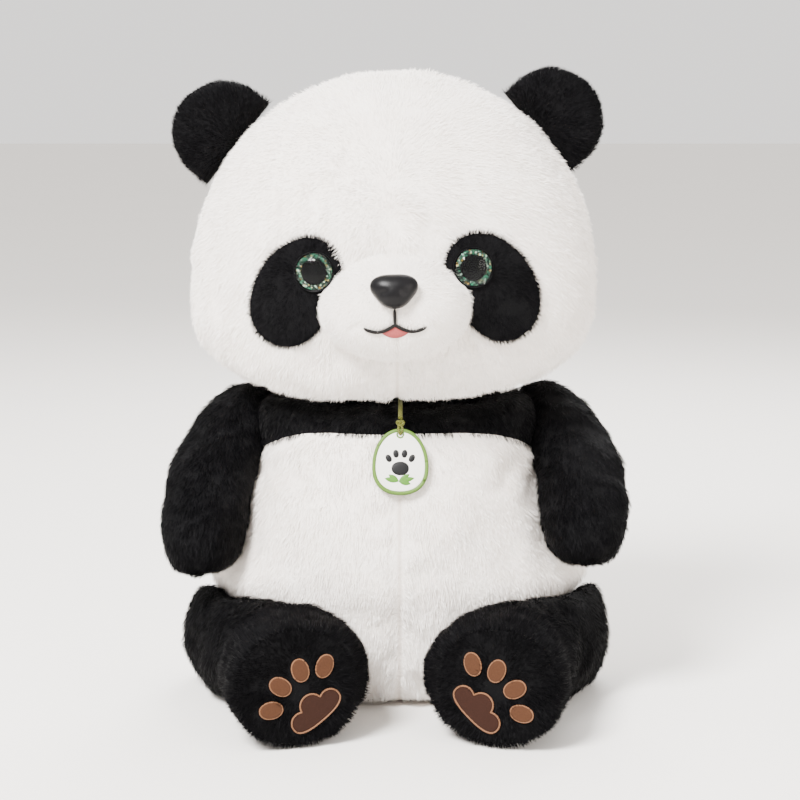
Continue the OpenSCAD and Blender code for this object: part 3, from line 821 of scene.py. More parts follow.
def bundle(name, skins, finish):
    """One object of several closed skins."""
    base = np.cumsum([0] + [len(skin.points) for skin in skins])
    faces = [f + start for skin, start in zip(skins, base) for f in skin.faces]
    quads = np.concatenate([f for f in faces if f.shape[1] == 4])
    triangles = np.concatenate([f for f in faces if f.shape[1] == 3])
    return new_object(name, np.concatenate([skin.points for skin in skins]), [quads, triangles], finish)


def make_tag():
    """The cord, its knot, and the tag with a generic paw mark and leaves."""
    cord, path = tag_cord()
    knot = knot_piece()
    back = in_frame(plate(egg_line(0), -0.8, 0.8), tag_frame).made("tag_backing", tag_green, 0)
    face = in_frame(plate(egg_line(2.4), 0.75, 1.35, 0.2), tag_frame).made("tag_front", tag_white, 0)
    line = egg_line(1.3, 120)
    line = np.concatenate([line, line[:1]]) + np.array([0, 0, 0.9])
    rim = in_frame(tube_skin(line, 1.25, 10), tag_frame).made("tag_rim", tag_green, 0)
    hole = np.array([0, TAG_H / 2 - 4, 1.3])
    t = np.linspace(0, 2 * math.pi, 33)
    eyelet_line = hole + np.stack([2.1 * np.cos(t), 2.1 * np.sin(t), 0 * t], 1)
    eyelet = in_frame(tube_skin(eyelet_line, 0.55, 8), tag_frame).made("tag_eyelet", tag_green, 0)
    loop_line = np.array([[0, 2.4, 0.6], [1.2, 0.6, 1.9], [1.0, -2.2, 2.3], [0, -4, 1.5], [-1.0, -2.2, 2.3],
                          [-1.2, 0.6, 1.9], [0, 2.6, 0.6]]) + [0, TAG_H / 2, 0]
    loop = in_frame(tube_skin(curve_rows(loop_line, 40), 0.8, 8), tag_frame).made("tag_loop", cord_silk, 0)
    paw = [blob(np.array([0, -4.5, 1.3]), 6.0, 4.8, 0.5)]
    for x, y, tilt in ((-7.6, 2.2, 28), (-2.8, 5.2, 8), (2.8, 5.2, -8), (7.6, 2.2, -28)):
        paw.append(blob(np.array([x, y, 1.3]), 2.0, 2.8, 0.5, tilt))
    print_mark = bundle("tag_paw_mark", [in_frame(s, tag_frame) for s in paw], tag_dark)
    sprig = [leaf(np.array([-1.0, -13.0, 1.35]), a, size, 1.7)
             for a, size in ((12, 10.5), (34, 8.5), (168, 9.5), (146, 8.0), (-12, 8.0))]
    leaves = bundle("tag_leaves", [in_frame(s, tag_frame) for s in sprig], tag_leaf)
    stands_for(cord, "tag", "cord", "tag_cord")
    stands_for(knot, "tag", "cord", "tag_knot")
    stands_for(back, "tag", "tag_back", "tag_back")
    stands_for(face, "tag", "tag_face", "tag_face")
    for piece, slot in ((rim, "tag_back"), (eyelet, "tag_back"), (loop, "cord"),
                        (print_mark, "tag_face"), (leaves, "tag_face")):
        stands_for(piece, "tag", slot)
    tuple(path[0])
    polyline_length(path)


make_tag()


# ---- Head ----

HEAD_W, HEAD_D, CROWN_Z, CHEEK_Z, CHIN_Z = 278.0, 205.0, 426.0, 280.0, 206.0
HEAD_N, JAW_N, HEAD_Y = 2.3, 3.2, -2.5
JAW_DROP = 7.5
MUZZLE_W, MUZZLE_H, MUZZLE_OUT, MUZZLE_Z, MUZZLE_Y, MUZZLE_N = 94.0, 65.0, 37.0, 272.0, -100.0, 2.4
# Rings of the muzzle's foot: how far each lies outside the outline, and how far above the face
MUZZLE_FOOT = ((-0.3, 4.6), (0.3, 3.6), (1.0, 2.7), (1.8, 1.9), (2.4, 0.9), (2.7, -1.0), (2.7, -4.0))


def head_skin(inset):
    """The head: half a superellipse below the cheeks (exponent 3.2), a quarter circle's curve above."""
    t = np.radians(np.linspace(-90, 90, 1500))
    n = np.where(t < 0, JAW_N, 2.0)
    w = np.cos(t).clip(0) ** (2 / n)
    up, down = CROWN_Z - CHEEK_Z - inset, CHEEK_Z - CHIN_Z - inset
    z = CHEEK_Z + np.where(t < 0, down, up) * spow(np.sin(t), 2 / n)
    profile = evened(np.stack([w * 120, z, w], 1), 76)[1:-1]
    rows = np.stack([0 * profile[:, 0], 0 * profile[:, 0] + HEAD_Y, profile[:, 1],
                     (HEAD_W / 2 - inset) * profile[:, 2], (HEAD_D / 2 - inset) * profile[:, 2]], 1)
    rings = ringed(rows, (1, 0, 0), (0, 1, 0), HEAD_N, 136)
    return Skin(rings, np.array([0, HEAD_Y, CHEEK_Z - down]), np.array([0, HEAD_Y, CHEEK_Z + up]))


def face_y(x, z):
    """Depth of the front of the head at x across and height z."""
    tall = np.where(z > CHEEK_Z, CROWN_Z - CHEEK_Z, CHEEK_Z - CHIN_Z)
    n = np.where(z > CHEEK_Z, 2.0, JAW_N)
    w = (1 - (np.abs(z - CHEEK_Z) / tall).clip(0, 0.999) ** n) ** (1 / n)
    r = (np.abs(x) * 2 / HEAD_W / w).clip(0, 0.999)
    return HEAD_Y - HEAD_D / 2 * w * (1 - r ** HEAD_N) ** (1 / HEAD_N)


def muzzle_at(x, h):
    """How far the muzzle stands out at x across and h above its middle."""
    r = ((np.abs(x) * 2 / MUZZLE_W) ** 2.1 + (np.abs(h) * 2 / MUZZLE_H) ** 2.1) ** (1 / 2.1)
    return MUZZLE_OUT * (1 - r.clip(0, 0.999) ** MUZZLE_N) ** (1 / MUZZLE_N)


def muzzle_frame(p):
    """Muzzle coordinates, x across, y up and z outwards, to the row frame."""
    return head_frame(facing(p, (0, MUZZLE_Y, MUZZLE_Z)))


def muzzle_skin():
    """The muzzle dome, which flares at its foot into the face, with the creases of the mouth.

    Inside its outline, rings at radius r stand (1 - r ** n) ** (1 / n) of its height out. The
    outline is drawn in a little beside each eye, and outside it rings ease down into the face.
    """
    t = np.linspace(0, 2 * math.pi, 112, endpoint=False)
    ring = np.stack([MUZZLE_W / 2 * spow(np.cos(t), 2 / 2.1), MUZZLE_H / 2 * spow(np.sin(t), 2 / 2.1)], 1)
    ring *= 1 - 0.05 * np.exp(-((np.abs(t - math.pi / 2) - 0.87) / 0.3) ** 2)[:, None]
    front = []
    for r in np.sin(np.linspace(0, math.pi / 2, 46)[1:-1]) ** (2 / MUZZLE_N):
        depth = MUZZLE_OUT * (1 - min(r, 0.9999) ** MUZZLE_N) ** (1 / MUZZLE_N)
        front.append(np.concatenate([ring * r, depth + 0 * ring[:, :1]], 1))
    flare = []
    for grow, above in MUZZLE_FOOT:
        xy = ring * (1 + grow / 40.0)
        depth = MUZZLE_Y - face_y(xy[:, 0], xy[:, 1] + MUZZLE_Z) + above
        flare.append(np.concatenate([xy, depth[:, None]], 1))
    flare = np.array(flare)
    low = flare[0][:, 2]
    front = np.array([np.concatenate([r[:, :2], np.maximum(r[:, 2], low)[:, None]], 1) for r in front])
    skin = Skin(np.concatenate([front, flare]), np.array([0, 0, MUZZLE_OUT]), np.array([0, 0, -8.0]))
    p = skin.points
    x, h = p[:, 0], p[:, 1]
    cleft = np.exp(-(x / 2.2) ** 2) * ((h < 8) & (h > -9))
    lips = np.exp(-((h - mouth_at(x)) / 2.4) ** 2) * (np.abs(x) < 30)
    chin_line = np.exp(-(x / 2.5) ** 2) * (h < -12)
    p[:, 2] -= (1.0 * cleft + 1.1 * lips + 1.0 * chin_line) * (p[:, 2] > 5)
    p[:, 2] += 1.6 * np.exp(-((np.abs(x) - 19) / 13) ** 2 - (h / 12) ** 2)
    return skin


MOUTH_W, MOUTH_H, MOUTH_DIP = 40.0, -7.0, 4.6


def mouth_at(x):
    """Height of the mouth line at x, which dips once on each side."""
    return MOUTH_H - MOUTH_DIP * np.abs(np.sin(math.pi * x / MOUTH_W * 2 * 0.87))


TONGUE_HALF = 9.6


def tongue_low(x):
    """Height of the lower edge of the tongue at x: a shallow arc below the two dips of the mouth."""
    return MOUTH_H - 4.4 - 4.4 * (1 - (np.abs(x) / TONGUE_HALF).clip(0, 1) ** 2.2)


PATCH_AT, PATCH_R, PATCH_TILT = (65.8, 281.4), (26.0, 35.4), 27.0
EYE_X, EYE_Z, EYE_YAW, EYE_PITCH, EYE_R = 51.2, 296.7, 10.0, 3.0, 12.0
EYE_LOBE = (1.5, 1.5, 18.5)  # across and up from the eye, and radius
EYE_PROUD, PATCH_PROUD = 1.9, 1.3
# How far outside the muzzle's outline each fur stops
HEAD_FUR_EDGE, MUZZLE_FUR_EDGE, PATCH_FUR_EDGE = 2.0, 2.3, 2.2


def patch_reach(angle):
    """How far the eye patch reaches from its middle at an angle: the slanting oval, with a lobe
    towards the nose that takes in the eye."""
    a = math.radians(PATCH_TILT)
    c, s = np.abs(np.cos(angle - a)) / PATCH_R[0], np.abs(np.sin(angle - a)) / PATCH_R[1]
    oval = (c ** 2.2 + s ** 2.2) ** (-1 / 2.2)
    cx, cz = EYE_X - PATCH_AT[0] + EYE_LOBE[0], EYE_Z - PATCH_AT[1] + EYE_LOBE[1]
    along = cx * np.cos(angle) + cz * np.sin(angle)
    inside = along ** 2 - cx ** 2 - cz ** 2 + EYE_LOBE[2] ** 2
    lobe = np.where((inside > 0) & (along > 0), along + np.sqrt(inside.clip(0)), 0)
    return (oval ** 10 + lobe ** 10) ** 0.1


def patch_skin(side):
    """An eye patch laid on the face, a little proud, with its edge tucked in."""
    t = np.linspace(0, 2 * math.pi, 120, endpoint=False)
    oval = np.stack([np.cos(t), np.sin(t)], 1) * patch_reach(t)[:, None]
    rings = []
    inner = [(k / 14, PATCH_PROUD) for k in range(1, 13)]
    for r, rise in inner + [(0.93, 1.2), (0.98, 0.7), (1.0, -0.4), (0.98, -2.5)]:
        x, z = PATCH_AT[0] + oval[:, 0] * r, PATCH_AT[1] + oval[:, 1] * r
        rings.append(np.stack([x, face_y(x, z) - rise, z], 1))
    middle = np.array([PATCH_AT[0], 0.0, PATCH_AT[1]])
    front = middle + [0, face_y(PATCH_AT[0], PATCH_AT[1]) - PATCH_PROUD, 0]
    back = middle + [0, face_y(PATCH_AT[0], PATCH_AT[1]) + 3.5, 0]
    skin = Skin(np.array(rings), front, back)
    skin.points = mirrored(skin.points, side)
    return in_frame(skin, head_frame)


def eye_centre(side):
    """The middle of an eye on the face."""
    return head_frame(mirrored(np.array([EYE_X, float(face_y(EYE_X, EYE_Z)) + 1.0, EYE_Z]), side))


def seam_pull(distance, width, depth):
    """How far cloth is drawn in next to a seam, as a bell curve over the distance from it."""
    return -depth * np.exp(-(distance / width) ** 2)


def to_head(p):
    """Row frame back to the head's own millimetres."""
    return turned(p / MM - np.array([0, BODY_Y, 0]), (0, 1, 0), HEAD_LEAN, NECK)


def in_patch(q, grow):
    """How far inside an eye patch a point of the head is: under 1 within it."""
    dx, dz = np.abs(q[:, 0]) - PATCH_AT[0], q[:, 2] - PATCH_AT[1]
    r = np.hypot(dx, dz) / (patch_reach(np.arctan2(dz, dx)) + grow)
    return np.where(q[:, 1] < 0, r, 9.0)


def in_muzzle(q, grow):
    """How far inside the muzzle's outline a point of the head is: under 1 within it."""
    across = np.abs(q[:, 0]) / (MUZZLE_W / 2 + grow)
    up = np.abs(q[:, 2] - MUZZLE_Z) / (MUZZLE_H / 2 + grow)
    return np.where(q[:, 1] < 0, across ** 2.1 + up ** 2.1, 9.0)


def make_head():
    """The head's cover and fur, the muzzle and the eye patches."""
    skin = head_skin(2.0)
    p = skin.points
    p[:, 2] -= JAW_DROP * ramp((-p[:, 1] - 38) / 36) * ramp((252 - p[:, 2]) / 40)
    side_seam = np.abs(p[:, 1] - 10)
    chin_seam = np.where((p[:, 1] < 0) & (p[:, 2] < 262), np.abs(p[:, 0]), 99)
    pull = seam_pull(side_seam, 5, 1.2) + seam_pull(chin_seam, 4, 2.0)
    pinned = (side_seam < 3) | (chin_seam < 3) | (p[:, 2] < 212)
    skin.moved(pull + 0.7 * lumps(p, 70, 3) + 0.4 * lumps(p, 26, 4))
    skin = in_frame(skin, head_frame).puffed(pinned, 2.2 * MM)
    head = skin.made("head_cover", pale_cloth)
    stands_for(head, "head", "pale_fur", "head_face_left", "head_face_right", "head_back",
               "head_filling", fill=0.95)

    def flow(root, out):
        q = to_head(root)
        spread = unit(q - np.array([0, -90, 318]))
        part = np.exp(-(q[:, 0] / 9) ** 2) * np.sign(q[:, 0]) * (q[:, 2] < 262)
        return spread + np.stack([0.6 * part, 0 * part, -0.75 + 0 * part], 1)

    def on_head(root, out):
        q = to_head(root)
        eyes = in_patch(q, -0.3 + 0.5 * lumps(q, 5, 17)) > 1
        seam = (np.abs(q[:, 0]) > 0.3 + 0.3 * lumps(q, 9, 18)) | (q[:, 2] > 262) | (q[:, 1] > -20)
        return eyes & seam & (in_muzzle(q, HEAD_FUR_EDGE) > 1)

    fur = strands("head_fur", skin, pale_hair, "head", flow, rise=0.75, wild=0.2, seed=11,
                  keep=on_head)
    dress(fur, "head", "pale_fur")

    muzzle = in_frame(muzzle_skin(), muzzle_frame)
    cover = muzzle.made("muzzle_cover_pile", pale_cloth)
    stands_for(cover, "head", "pale_fur", "muzzle_cover", "muzzle_filling", fill=0.95)

    def muzzle_flow(root, out):
        q = to_head(root)
        return unit(q - np.array([0, -140, 286])) + np.array([0, 0, -0.35])

    def on_muzzle(root, out):
        q = to_head(root)
        x, h = q[:, 0], q[:, 2] - MUZZLE_Z
        front = q[:, 1] < -112
        nose = (x / 14.6) ** 2 + ((h - 15.5) / 10.5) ** 2 < 1
        lips = (np.abs(h - mouth_at(x)) < 1.6) & (np.abs(x) < 20)
        cleft = (np.abs(x) < 1.4) & (h < 8) & (h > -7)
        tongue = (np.abs(x) < 9.2) & (h > tongue_low(x) - 0.6) & (h < mouth_at(x))
        inside = in_muzzle(q, MUZZLE_FUR_EDGE) < 1
        inside &= np.hypot(np.abs(q[:, 0]) - EYE_X, q[:, 2] - EYE_Z) > EYE_R + 2.5
        return inside & ~(front & (nose | lips | cleft | tongue))

    fur = strands("muzzle_fur", muzzle, pale_hair, "muzzle", muzzle_flow, rise=0.8, wild=0.18,
                  seed=21, keep=on_muzzle)
    dress(fur, "head", "pale_fur")

    for name, side in SIDES.items():
        patch = patch_skin(side)
        cover = patch.made(f"eye_patch_cover_{name}", dark_cloth)
        stands_for(cover, "head", "dark_fur", f"eye_patch_{name}")
        centre = eye_centre(side)
        middle = head_frame(mirrored(np.array([PATCH_AT[0], -88.0, PATCH_AT[1]]), side))

        def patch_flow(root, out):
            return unit(root - middle) + 0.5 * unit(root - centre) + np.array([side * 0.3, 0, -0.4])

        def on_patch(root, out):
            off = root - centre
            q = to_head(root)
            return (np.hypot(off[:, 0], off[:, 2]) > (EYE_R + 0.8) * MM) & (in_muzzle(q, PATCH_FUR_EDGE) > 1)

        fur = strands(f"eye_patch_fur_{name}", patch, dark_hair, "patch", patch_flow, rise=0.45,
                      wild=0.16, seed=31 + side, keep=on_patch)
        dress(fur, "head", "dark_fur")


make_head()


# ---- Nose, mouth, tongue and eyes ----

NOSE_H0, NOSE_PITCH, NOSE_T, NOSE_W, NOSE_H = 14.0, 22.0, 12.0, 31.0, 23.0


def nose_frame(p):
    """Nose coordinates, with z outwards, to the row frame: it stands on the muzzle, facing up."""
    at = np.array([0, NOSE_H0, float(muzzle_at(np.float64(0), np.float64(NOSE_H0))) + 0.6])
    return muzzle_frame(turned(p, (1, 0, 0), -NOSE_PITCH) + at)


def nose_piece():
    """A rounded triangle, point down: radius 1 + 0.1 cos 3(t + 90), domed to its top."""
    t = np.linspace(0, 2 * math.pi, 72, endpoint=False)
    r = (1 + 0.1 * np.cos(3 * (t + math.pi / 2))) / 1.05
    line = np.stack([NOSE_W / 2 * r * np.cos(t), NOSE_H / 2 * r * np.sin(t)], 1)
    a = np.radians(np.linspace(0, 84, 16))
    rows = [(0.86, 0.0), (0.96, 0.6), (1.0, 1.8), (1.0, 3.0)]
    rows += [(0.995 * math.cos(v) ** 0.9, 4 + (NOSE_T - 4) * math.sin(v)) for v in a]
    rings = np.array([np.concatenate([line * s, 0 * line[:, :1] + z], 1) for s, z in rows])
    skin = Skin(rings, np.array([0, 0, 0.0]), np.array([0, 0, NOSE_T]))
    p = skin.points
    dent = sum(np.exp(-((p[:, 0] - s * 6.5) / 2.4) ** 2 - ((p[:, 1] + 3.6) / 1.8) ** 2) for s in (-1, 1))
    p[:, 2] -= 0.8 * dent * (p[:, 2] > 5)
    post = tube_skin(np.array([[0, 0, -14.0], [0, 0, -6.0], [0, 0, 1.0]]), 2.5, 24)
    return bundle("nose_moulding", [in_frame(skin, nose_frame), in_frame(post, nose_frame)], nose_plastic)


def surface_line(x, h, rise):
    """Points on the muzzle at x across and h up, standing rise above it."""
    return np.stack([x, h, muzzle_at(x, h) + rise], 1)


def thread_line(name, path, radius):
    """A row of slanting stitches: a tube whose radius swells and narrows at every stitch."""
    path = evened(path, max(24, int(polyline_length(path) / 0.22)))
    run = np.linspace(0, polyline_length(path), len(path))
    ends = np.minimum(run, run[-1] - run)
    swell = radius * (0.86 + 0.14 * np.abs(np.sin(math.pi * run / 1.3))) * np.sqrt((ends / 2.2).clip(0.02, 1))
    return in_frame(tube_skin(path, swell, 10), muzzle_frame)


def make_face_details():
    """The nose, the sewn mouth and the tongue."""
    nose = nose_piece()
    stands_for(nose, "head", "nose_plastic", "nose_button")
    x = np.linspace(-MOUTH_W / 2, MOUTH_W / 2, 120)
    smile = thread_line("smile", surface_line(x, mouth_at(x), 0.9), 1.2)
    h = np.linspace(MOUTH_H - 0.4, NOSE_H0 - NOSE_H / 2 + 1.0, 60)
    cleft = thread_line("cleft", surface_line(0 * h, h, 0.9), 1.1)
    mouth = bundle("mouth_stitching", [smile, cleft], mouth_silk)
    stands_for(mouth, "head", "thread", "mouth_thread")
    t = np.linspace(0, 2 * math.pi, 72, endpoint=False)
    x = TONGUE_HALF * np.cos(t)
    h = np.where(np.sin(t) > 0, mouth_at(x) + 0.2, tongue_low(x))
    middle = MOUTH_H - 5.0
    rings = []
    for k in np.linspace(0.12, 1, 9):
        rings.append(surface_line(x * k, middle + (h - middle) * k, 0.3 + 0.9 * (1 - k ** 4)))
    rim = rings[-1] - np.array([0, 0, 1.3])
    tip = surface_line(np.array([0.0]), np.array([middle]), 1.2)[0]
    tongue = in_frame(Skin(np.array(rings + [rim]), tip, tip - np.array([0, 0, 3.0])), muzzle_frame)
    tongue = tongue.made("tongue_tip", tongue_felt)
    stands_for(tongue, "head", "tongue_felt", "tongue")


def cad_finish(node, material):
    """A material on a node that keeps its own mesh."""
    obj = bpy.data.objects[node]
    obj.data.materials.clear()
    obj.data.materials.append(material)


def turned_form(profile, count=64):
    """A form turned about z from (radius, height) rows, from its top to its underside."""
    t = np.linspace(0, 2 * math.pi, count, endpoint=False)
    rows = np.asarray(profile, float)
    rings = np.stack([rows[:, :1] * np.cos(t), rows[:, :1] * np.sin(t), rows[:, 1:] + 0 * t], -1)
    return Skin(rings, np.array([0, 0, rows[0, 1]]), np.array([0, 0, rows[-1, 1]]))


def make_eyes():
    """A clear dome over a ring of glitter film, with a dark disc in the middle."""
    a = np.radians(np.linspace(86, 0, 22))
    r = EYE_R + 0.5
    dome_rows = [(r * math.cos(v), 1.4 + 6.4 * math.sin(v)) for v in a]
    dome_rows += [(r, 1.0), (r - 0.6, 0.9), (1.0, 0.9)]
    film_rows = [(1.0, 0.75), (r - 1.1, 0.75), (r - 0.7, 0.5), (r - 0.7, -0.2), (1.0, -0.2)]
    disc_rows = [(1.0, 0.88), (8.6, 0.88), (8.7, 0.8), (8.7, 0.76), (1.0, 0.76)]
    rim_rows = [(r - 0.9, 0.6), (r + 0.35, 1.2), (r + 0.5, 0.6), (r + 0.3, -2.0), (1.0, -2.0)]
    for name, side in SIDES.items():
        at = np.array([EYE_X, float(face_y(EYE_X, EYE_Z)) - EYE_PROUD, EYE_Z])
        for label, rows, material, node, slot in (
                ("eye_dome", dome_rows, dome, "eye_lens", "clear_dome"),
                ("eye_disc", disc_rows, pupil_plastic, "eye_pupil", "pupil"),
                ("eye_film", film_rows, glitter, "eye_glitter", "glitter"),
                ("eye_rim", rim_rows, pupil_plastic, None, "pupil")):
            skin = in_frame(turned_form(rows), lambda q: head_frame(mirrored(
                facing(q, at, EYE_YAW, EYE_PITCH), side)))
            piece = skin.made(f"{label}_{name}", material, 0)
            if label != "eye_dome":
                piece.data.polygons.foreach_set("use_smooth", np.zeros(len(piece.data.polygons), bool))
            stands_for(piece, "head", slot, *([f"{node}_{name}"] if node else []))
        cad_finish(f"eye_washer_{name}", washer_plastic)


make_face_details()
make_eyes()
cad_finish("nose_washer", washer_plastic)


# ---- Ears ----

EAR_R, EAR_T, EAR_UP, EAR_TILT = 34.0, 22.0, 11.5, 50.4
EAR_AT = np.array([105.0, 6.0, 375.7])
EAR_SHIFT = {1: np.array([-4.5, 0, 3.5]), -1: np.array([0, 0, 1.0])}  # by side: they are not quite alike
EAR_INSET = -0.8


def ear_place(p, side):
    """Ear coordinates, z out from the head at its seam, to the row frame."""
    return head_frame(mirrored(turned(p, (0, 1, 0), EAR_TILT) + EAR_AT, side) + EAR_SHIFT[side])


def ear_skin(side, inset):
    """A half disc: sections along its width are ovals whose height follows the round edge."""
    t = np.radians(np.linspace(-86, 86, 40))
    r = EAR_R - inset
    x = r * np.sin(t)
    top = EAR_UP + r * np.cos(t)
    half = (top - 0.8 - inset) / 2
    thick = (EAR_T / 2 - inset) * (0.45 + 0.55 * np.cos(t)) * np.minimum(1, 0.55 + 0.9 * np.cos(t))
    rows = np.stack([x, 0 * x, 0.8 + inset + half, thick, half], 1)
    rings = ringed(rows, (0, 1, 0), (0, 0, 1), 2.2, 44)
    skin = Skin(rings, np.array([-r, 0, EAR_UP]), np.array([r, 0, EAR_UP]))
    p = skin.points
    cup = np.exp(-(p[:, 0] / 15) ** 2 - ((p[:, 2] - 22) / 12) ** 2)
    p[:, 1] += 2.4 * cup * (p[:, 1] < 0)
    return in_frame(skin, lambda q: ear_place(q, side))


def make_ears():
    """Both ears and their fur."""
    for name, side in SIDES.items():
        skin = ear_skin(side, EAR_INSET)
        cover = skin.made(f"ear_pile_{name}", dark_cloth)
        start, end = ear_place(np.array([0, 0, 2.0]), side), ear_place(np.array([0, 0, 20.0]), side)
        foot = ear_place(np.array([0, 0, -6.0]), side)
        joint = ("head", tuple(start), tuple(end))
        stands_for(cover, f"ear_{name}", "dark_fur", f"ear_cover_{name}", f"ear_filling_{name}",
                   fill=0.7, joint=joint)

        def flow(root, out):
            return unit(root - foot)

        fur = strands(f"ear_fur_{name}", skin, dark_hair, "ear", flow, rise=0.5, wild=0.16,
                      seed=41 + side)
        dress(fur, f"ear_{name}", "dark_fur", joint)


make_ears()


# ---- Torso, tail and neck ----

TORSO_KEYS = [(0, 86, 70, 0), (10, 102, 86, 0), (38, 115, 98, 0), (60, 118, 101, 0), (80, 125.5, 104, 0),
              (100, 114, 103, 0), (132, 105, 98, 0), (165, 97, 89, 0), (186, 98, 77, 2),
              (196, 93, 62, 8), (200.5, 80, 46, 14), (202.5, 54, 28, 18)]
SEAM_Y = 30.0
HIP_BULGE, SHOULDER_RISE = 5.5, 6.0


def torso_skin(inset):
    """The torso: superellipse rings (exponent 2.05) on a curve through the key sections."""
    under = [(0.0, a, b, 0) for a, b in ((12, 10), (30, 24), (48, 39), (66, 54))]
    over = [(202.8, 26, 14, 20)]
    rows = curve_rows(under + TORSO_KEYS + over, 72)
    z, a, b, forward = rows.T
    wide = inset * (a > 60)
    rows = np.stack([0 * z, -forward, inset + z * (1 - 2 * inset / 202.5), a - wide, b - wide], 1)
    rings = ringed(rows, (1, 0, 0), (0, 1, 0), 2.05, 128)
    return Skin(rings, np.array([0, 0, inset]), np.array([0, -20, 203.0 - inset]))


def yoke_line(x):
    """Height of the yoke seam at x across."""
    return YOKE_Z - YOKE_FALL * (np.abs(x) / YOKE_HALF) ** YOKE_BEND


def to_body(p):
    """Row frame back to millimetres about the torso."""
    return p / MM - np.array([0, BODY_Y, 0])


def make_torso():
    """The torso's cover, its belly fur and its yoke fur."""
    skin = torso_skin(1.5)
    p = skin.points
    hips = ramp((p[:, 1] + 40) / 30) * np.exp(-((p[:, 2] - 90) / 26) ** 2)
    p[:, 0] += HIP_BULGE * hips * np.sign(p[:, 0]) * ramp(np.abs(p[:, 0]) / 60)
    p[:, 2] += SHOULDER_RISE * ramp((np.abs(p[:, 0]) - 42) / 35) * ramp((p[:, 2] - 184) / 14)
    below_yoke = p[:, 2] < yoke_line(p[:, 0])
    belly = (p[:, 1] < SEAM_Y) & below_yoke & (p[:, 2] > 6)
    middle_seam = np.where(belly, np.abs(p[:, 0] - BELLY_SEAM_X), 99)
    yoke_seam = np.abs(p[:, 2] - yoke_line(p[:, 0]))
    back_seam = np.where(below_yoke, np.abs(p[:, 1] - SEAM_Y), 99)
    pull = seam_pull(middle_seam, 3.2, 1.6) + seam_pull(yoke_seam, 5, 1.8) + seam_pull(back_seam, 5, 1.4)
    pinned = (middle_seam < 3) | (yoke_seam < 3) | (back_seam < 3) | (p[:, 2] < 4) | (p[:, 2] > 198)
    skin.moved(pull + (1.2 * lumps(p, 64, 5) + 0.5 * lumps(p, 24, 6)) * (p[:, 2] > 8))
    skin = in_frame(skin, body_frame).puffed(pinned, 2.5 * MM)
    skin.points[:, 2] = np.maximum(skin.points[:, 2], 0.2 * MM)
    torso = skin.made("torso_cover", torso_cloth)
    stands_for(torso, "torso", "pale_fur", "torso_yoke", "belly_left", "belly_right", "torso_back",
               "seat_panel", "torso_filling", fill=0.9)

    def flow(root, out):
        q = to_body(root)
        off = q[:, 0] - BELLY_SEAM_X
        part = np.exp(-(off / 9) ** 2) * np.sign(off) * (q[:, 1] < 0)
        spread = q * np.array([1.0, 1.0, 0.0]) / 220
        return spread + np.stack([0.7 * part, 0 * part, -1.0 + 0 * part], 1)

    def jagged(q):
        """Height above the yoke seam, made uneven as cut fur is."""
        return q[:, 2] - yoke_line(q[:, 0]) + 0.5 * lumps(q, 7, 8)

    def on_belly(root, out):
        q = to_body(root)
        seam = (np.abs(q[:, 0] - BELLY_SEAM_X) > 0.5 + 0.3 * lumps(q, 9, 19)) | (q[:, 1] > 0)
        return seam & (jagged(q) < -1.0) & (q[:, 2] > 1.0) & (out[:, 2] > -0.93)

    def on_yoke(root, out):
        return jagged(to_body(root)) >= 0

    fur = strands("belly_fur", skin, pale_hair, "belly", flow, rise=0.65, wild=0.2, seed=51,
                  keep=on_belly)
    dress(fur, "torso", "pale_fur")
    fur = strands("yoke_fur", skin, dark_hair, "yoke", flow, rise=0.5, wild=0.16, seed=52,
                  keep=on_yoke)
    dress(fur, "torso", "dark_fur")


def ball(at, r, wave, seed):
    """A soft ball with a lumpy surface."""
    a = np.linspace(-math.pi / 2, math.pi / 2, 26)[1:-1]
    t = np.linspace(0, 2 * math.pi, 40, endpoint=False)
    rings = np.stack([np.cos(a)[:, None] * np.cos(t), np.cos(a)[:, None] * np.sin(t),
                      np.sin(a)[:, None] + 0 * t], -1) * r + at
    skin = Skin(rings, np.array(at) - [0, 0, r], np.array(at) + [0, 0, r])
    return skin.moved(wave * lumps(skin.points, r, seed))


def make_tail_and_neck():
    """The tail on the back panel, and the filling of the neck inside the seam."""
    tail = in_frame(ball(np.array([0, 107.0, 45.7]), 18.0, 0.6, 7), body_frame)
    cover = tail.made("tail_pile", pale_cloth)
    stands_for(cover, "torso", "pale_fur", "tail_cover", "tail_filling", fill=0.8)
    fur = strands("tail_fur", tail, pale_hair, "tail",
                  lambda root, out: np.array([0, 0.6, -1.0]) + 0 * root, rise=0.8, wild=0.4, seed=61)
    dress(fur, "torso", "pale_fur")
    neck = in_frame(ball(np.array([0, 5.0, 207.0]), 24.0, 0.8, 9), body_frame)
    neck.points[:, 2] = neck.points[:, 2].clip(186 * MM, 210 * MM)
    inner = neck.made("neck_stuffing", filling)
    stands_for(inner, "neck", "filling", "neck_filling", fill=0.8)


make_torso()
make_tail_and_neck()


# ---- Arms ----

SHOULDER = (95.0, 5.0, 188.0)
ARM_KEYS = [(127, -58, 89.5, 0.5, 0.5), (127, -58, 90.5, 12, 13), (127.5, -57, 97, 22.5, 24),
            (128, -52, 115, 29, 31), (127, -42, 134, 30, 32), (123, -23, 158, 29.5, 31),
            (114.5, -6, 178, 27, 29), (107, 3, 194, 23, 26), (101, 6, 205, 15, 17),
            (100, 6, 209, 0.5, 0.5)]
ARM_LIFT = {"left": 7.0, "right": 0.0}
ARM_OUT = {"left": -2.5, "right": 3.0}


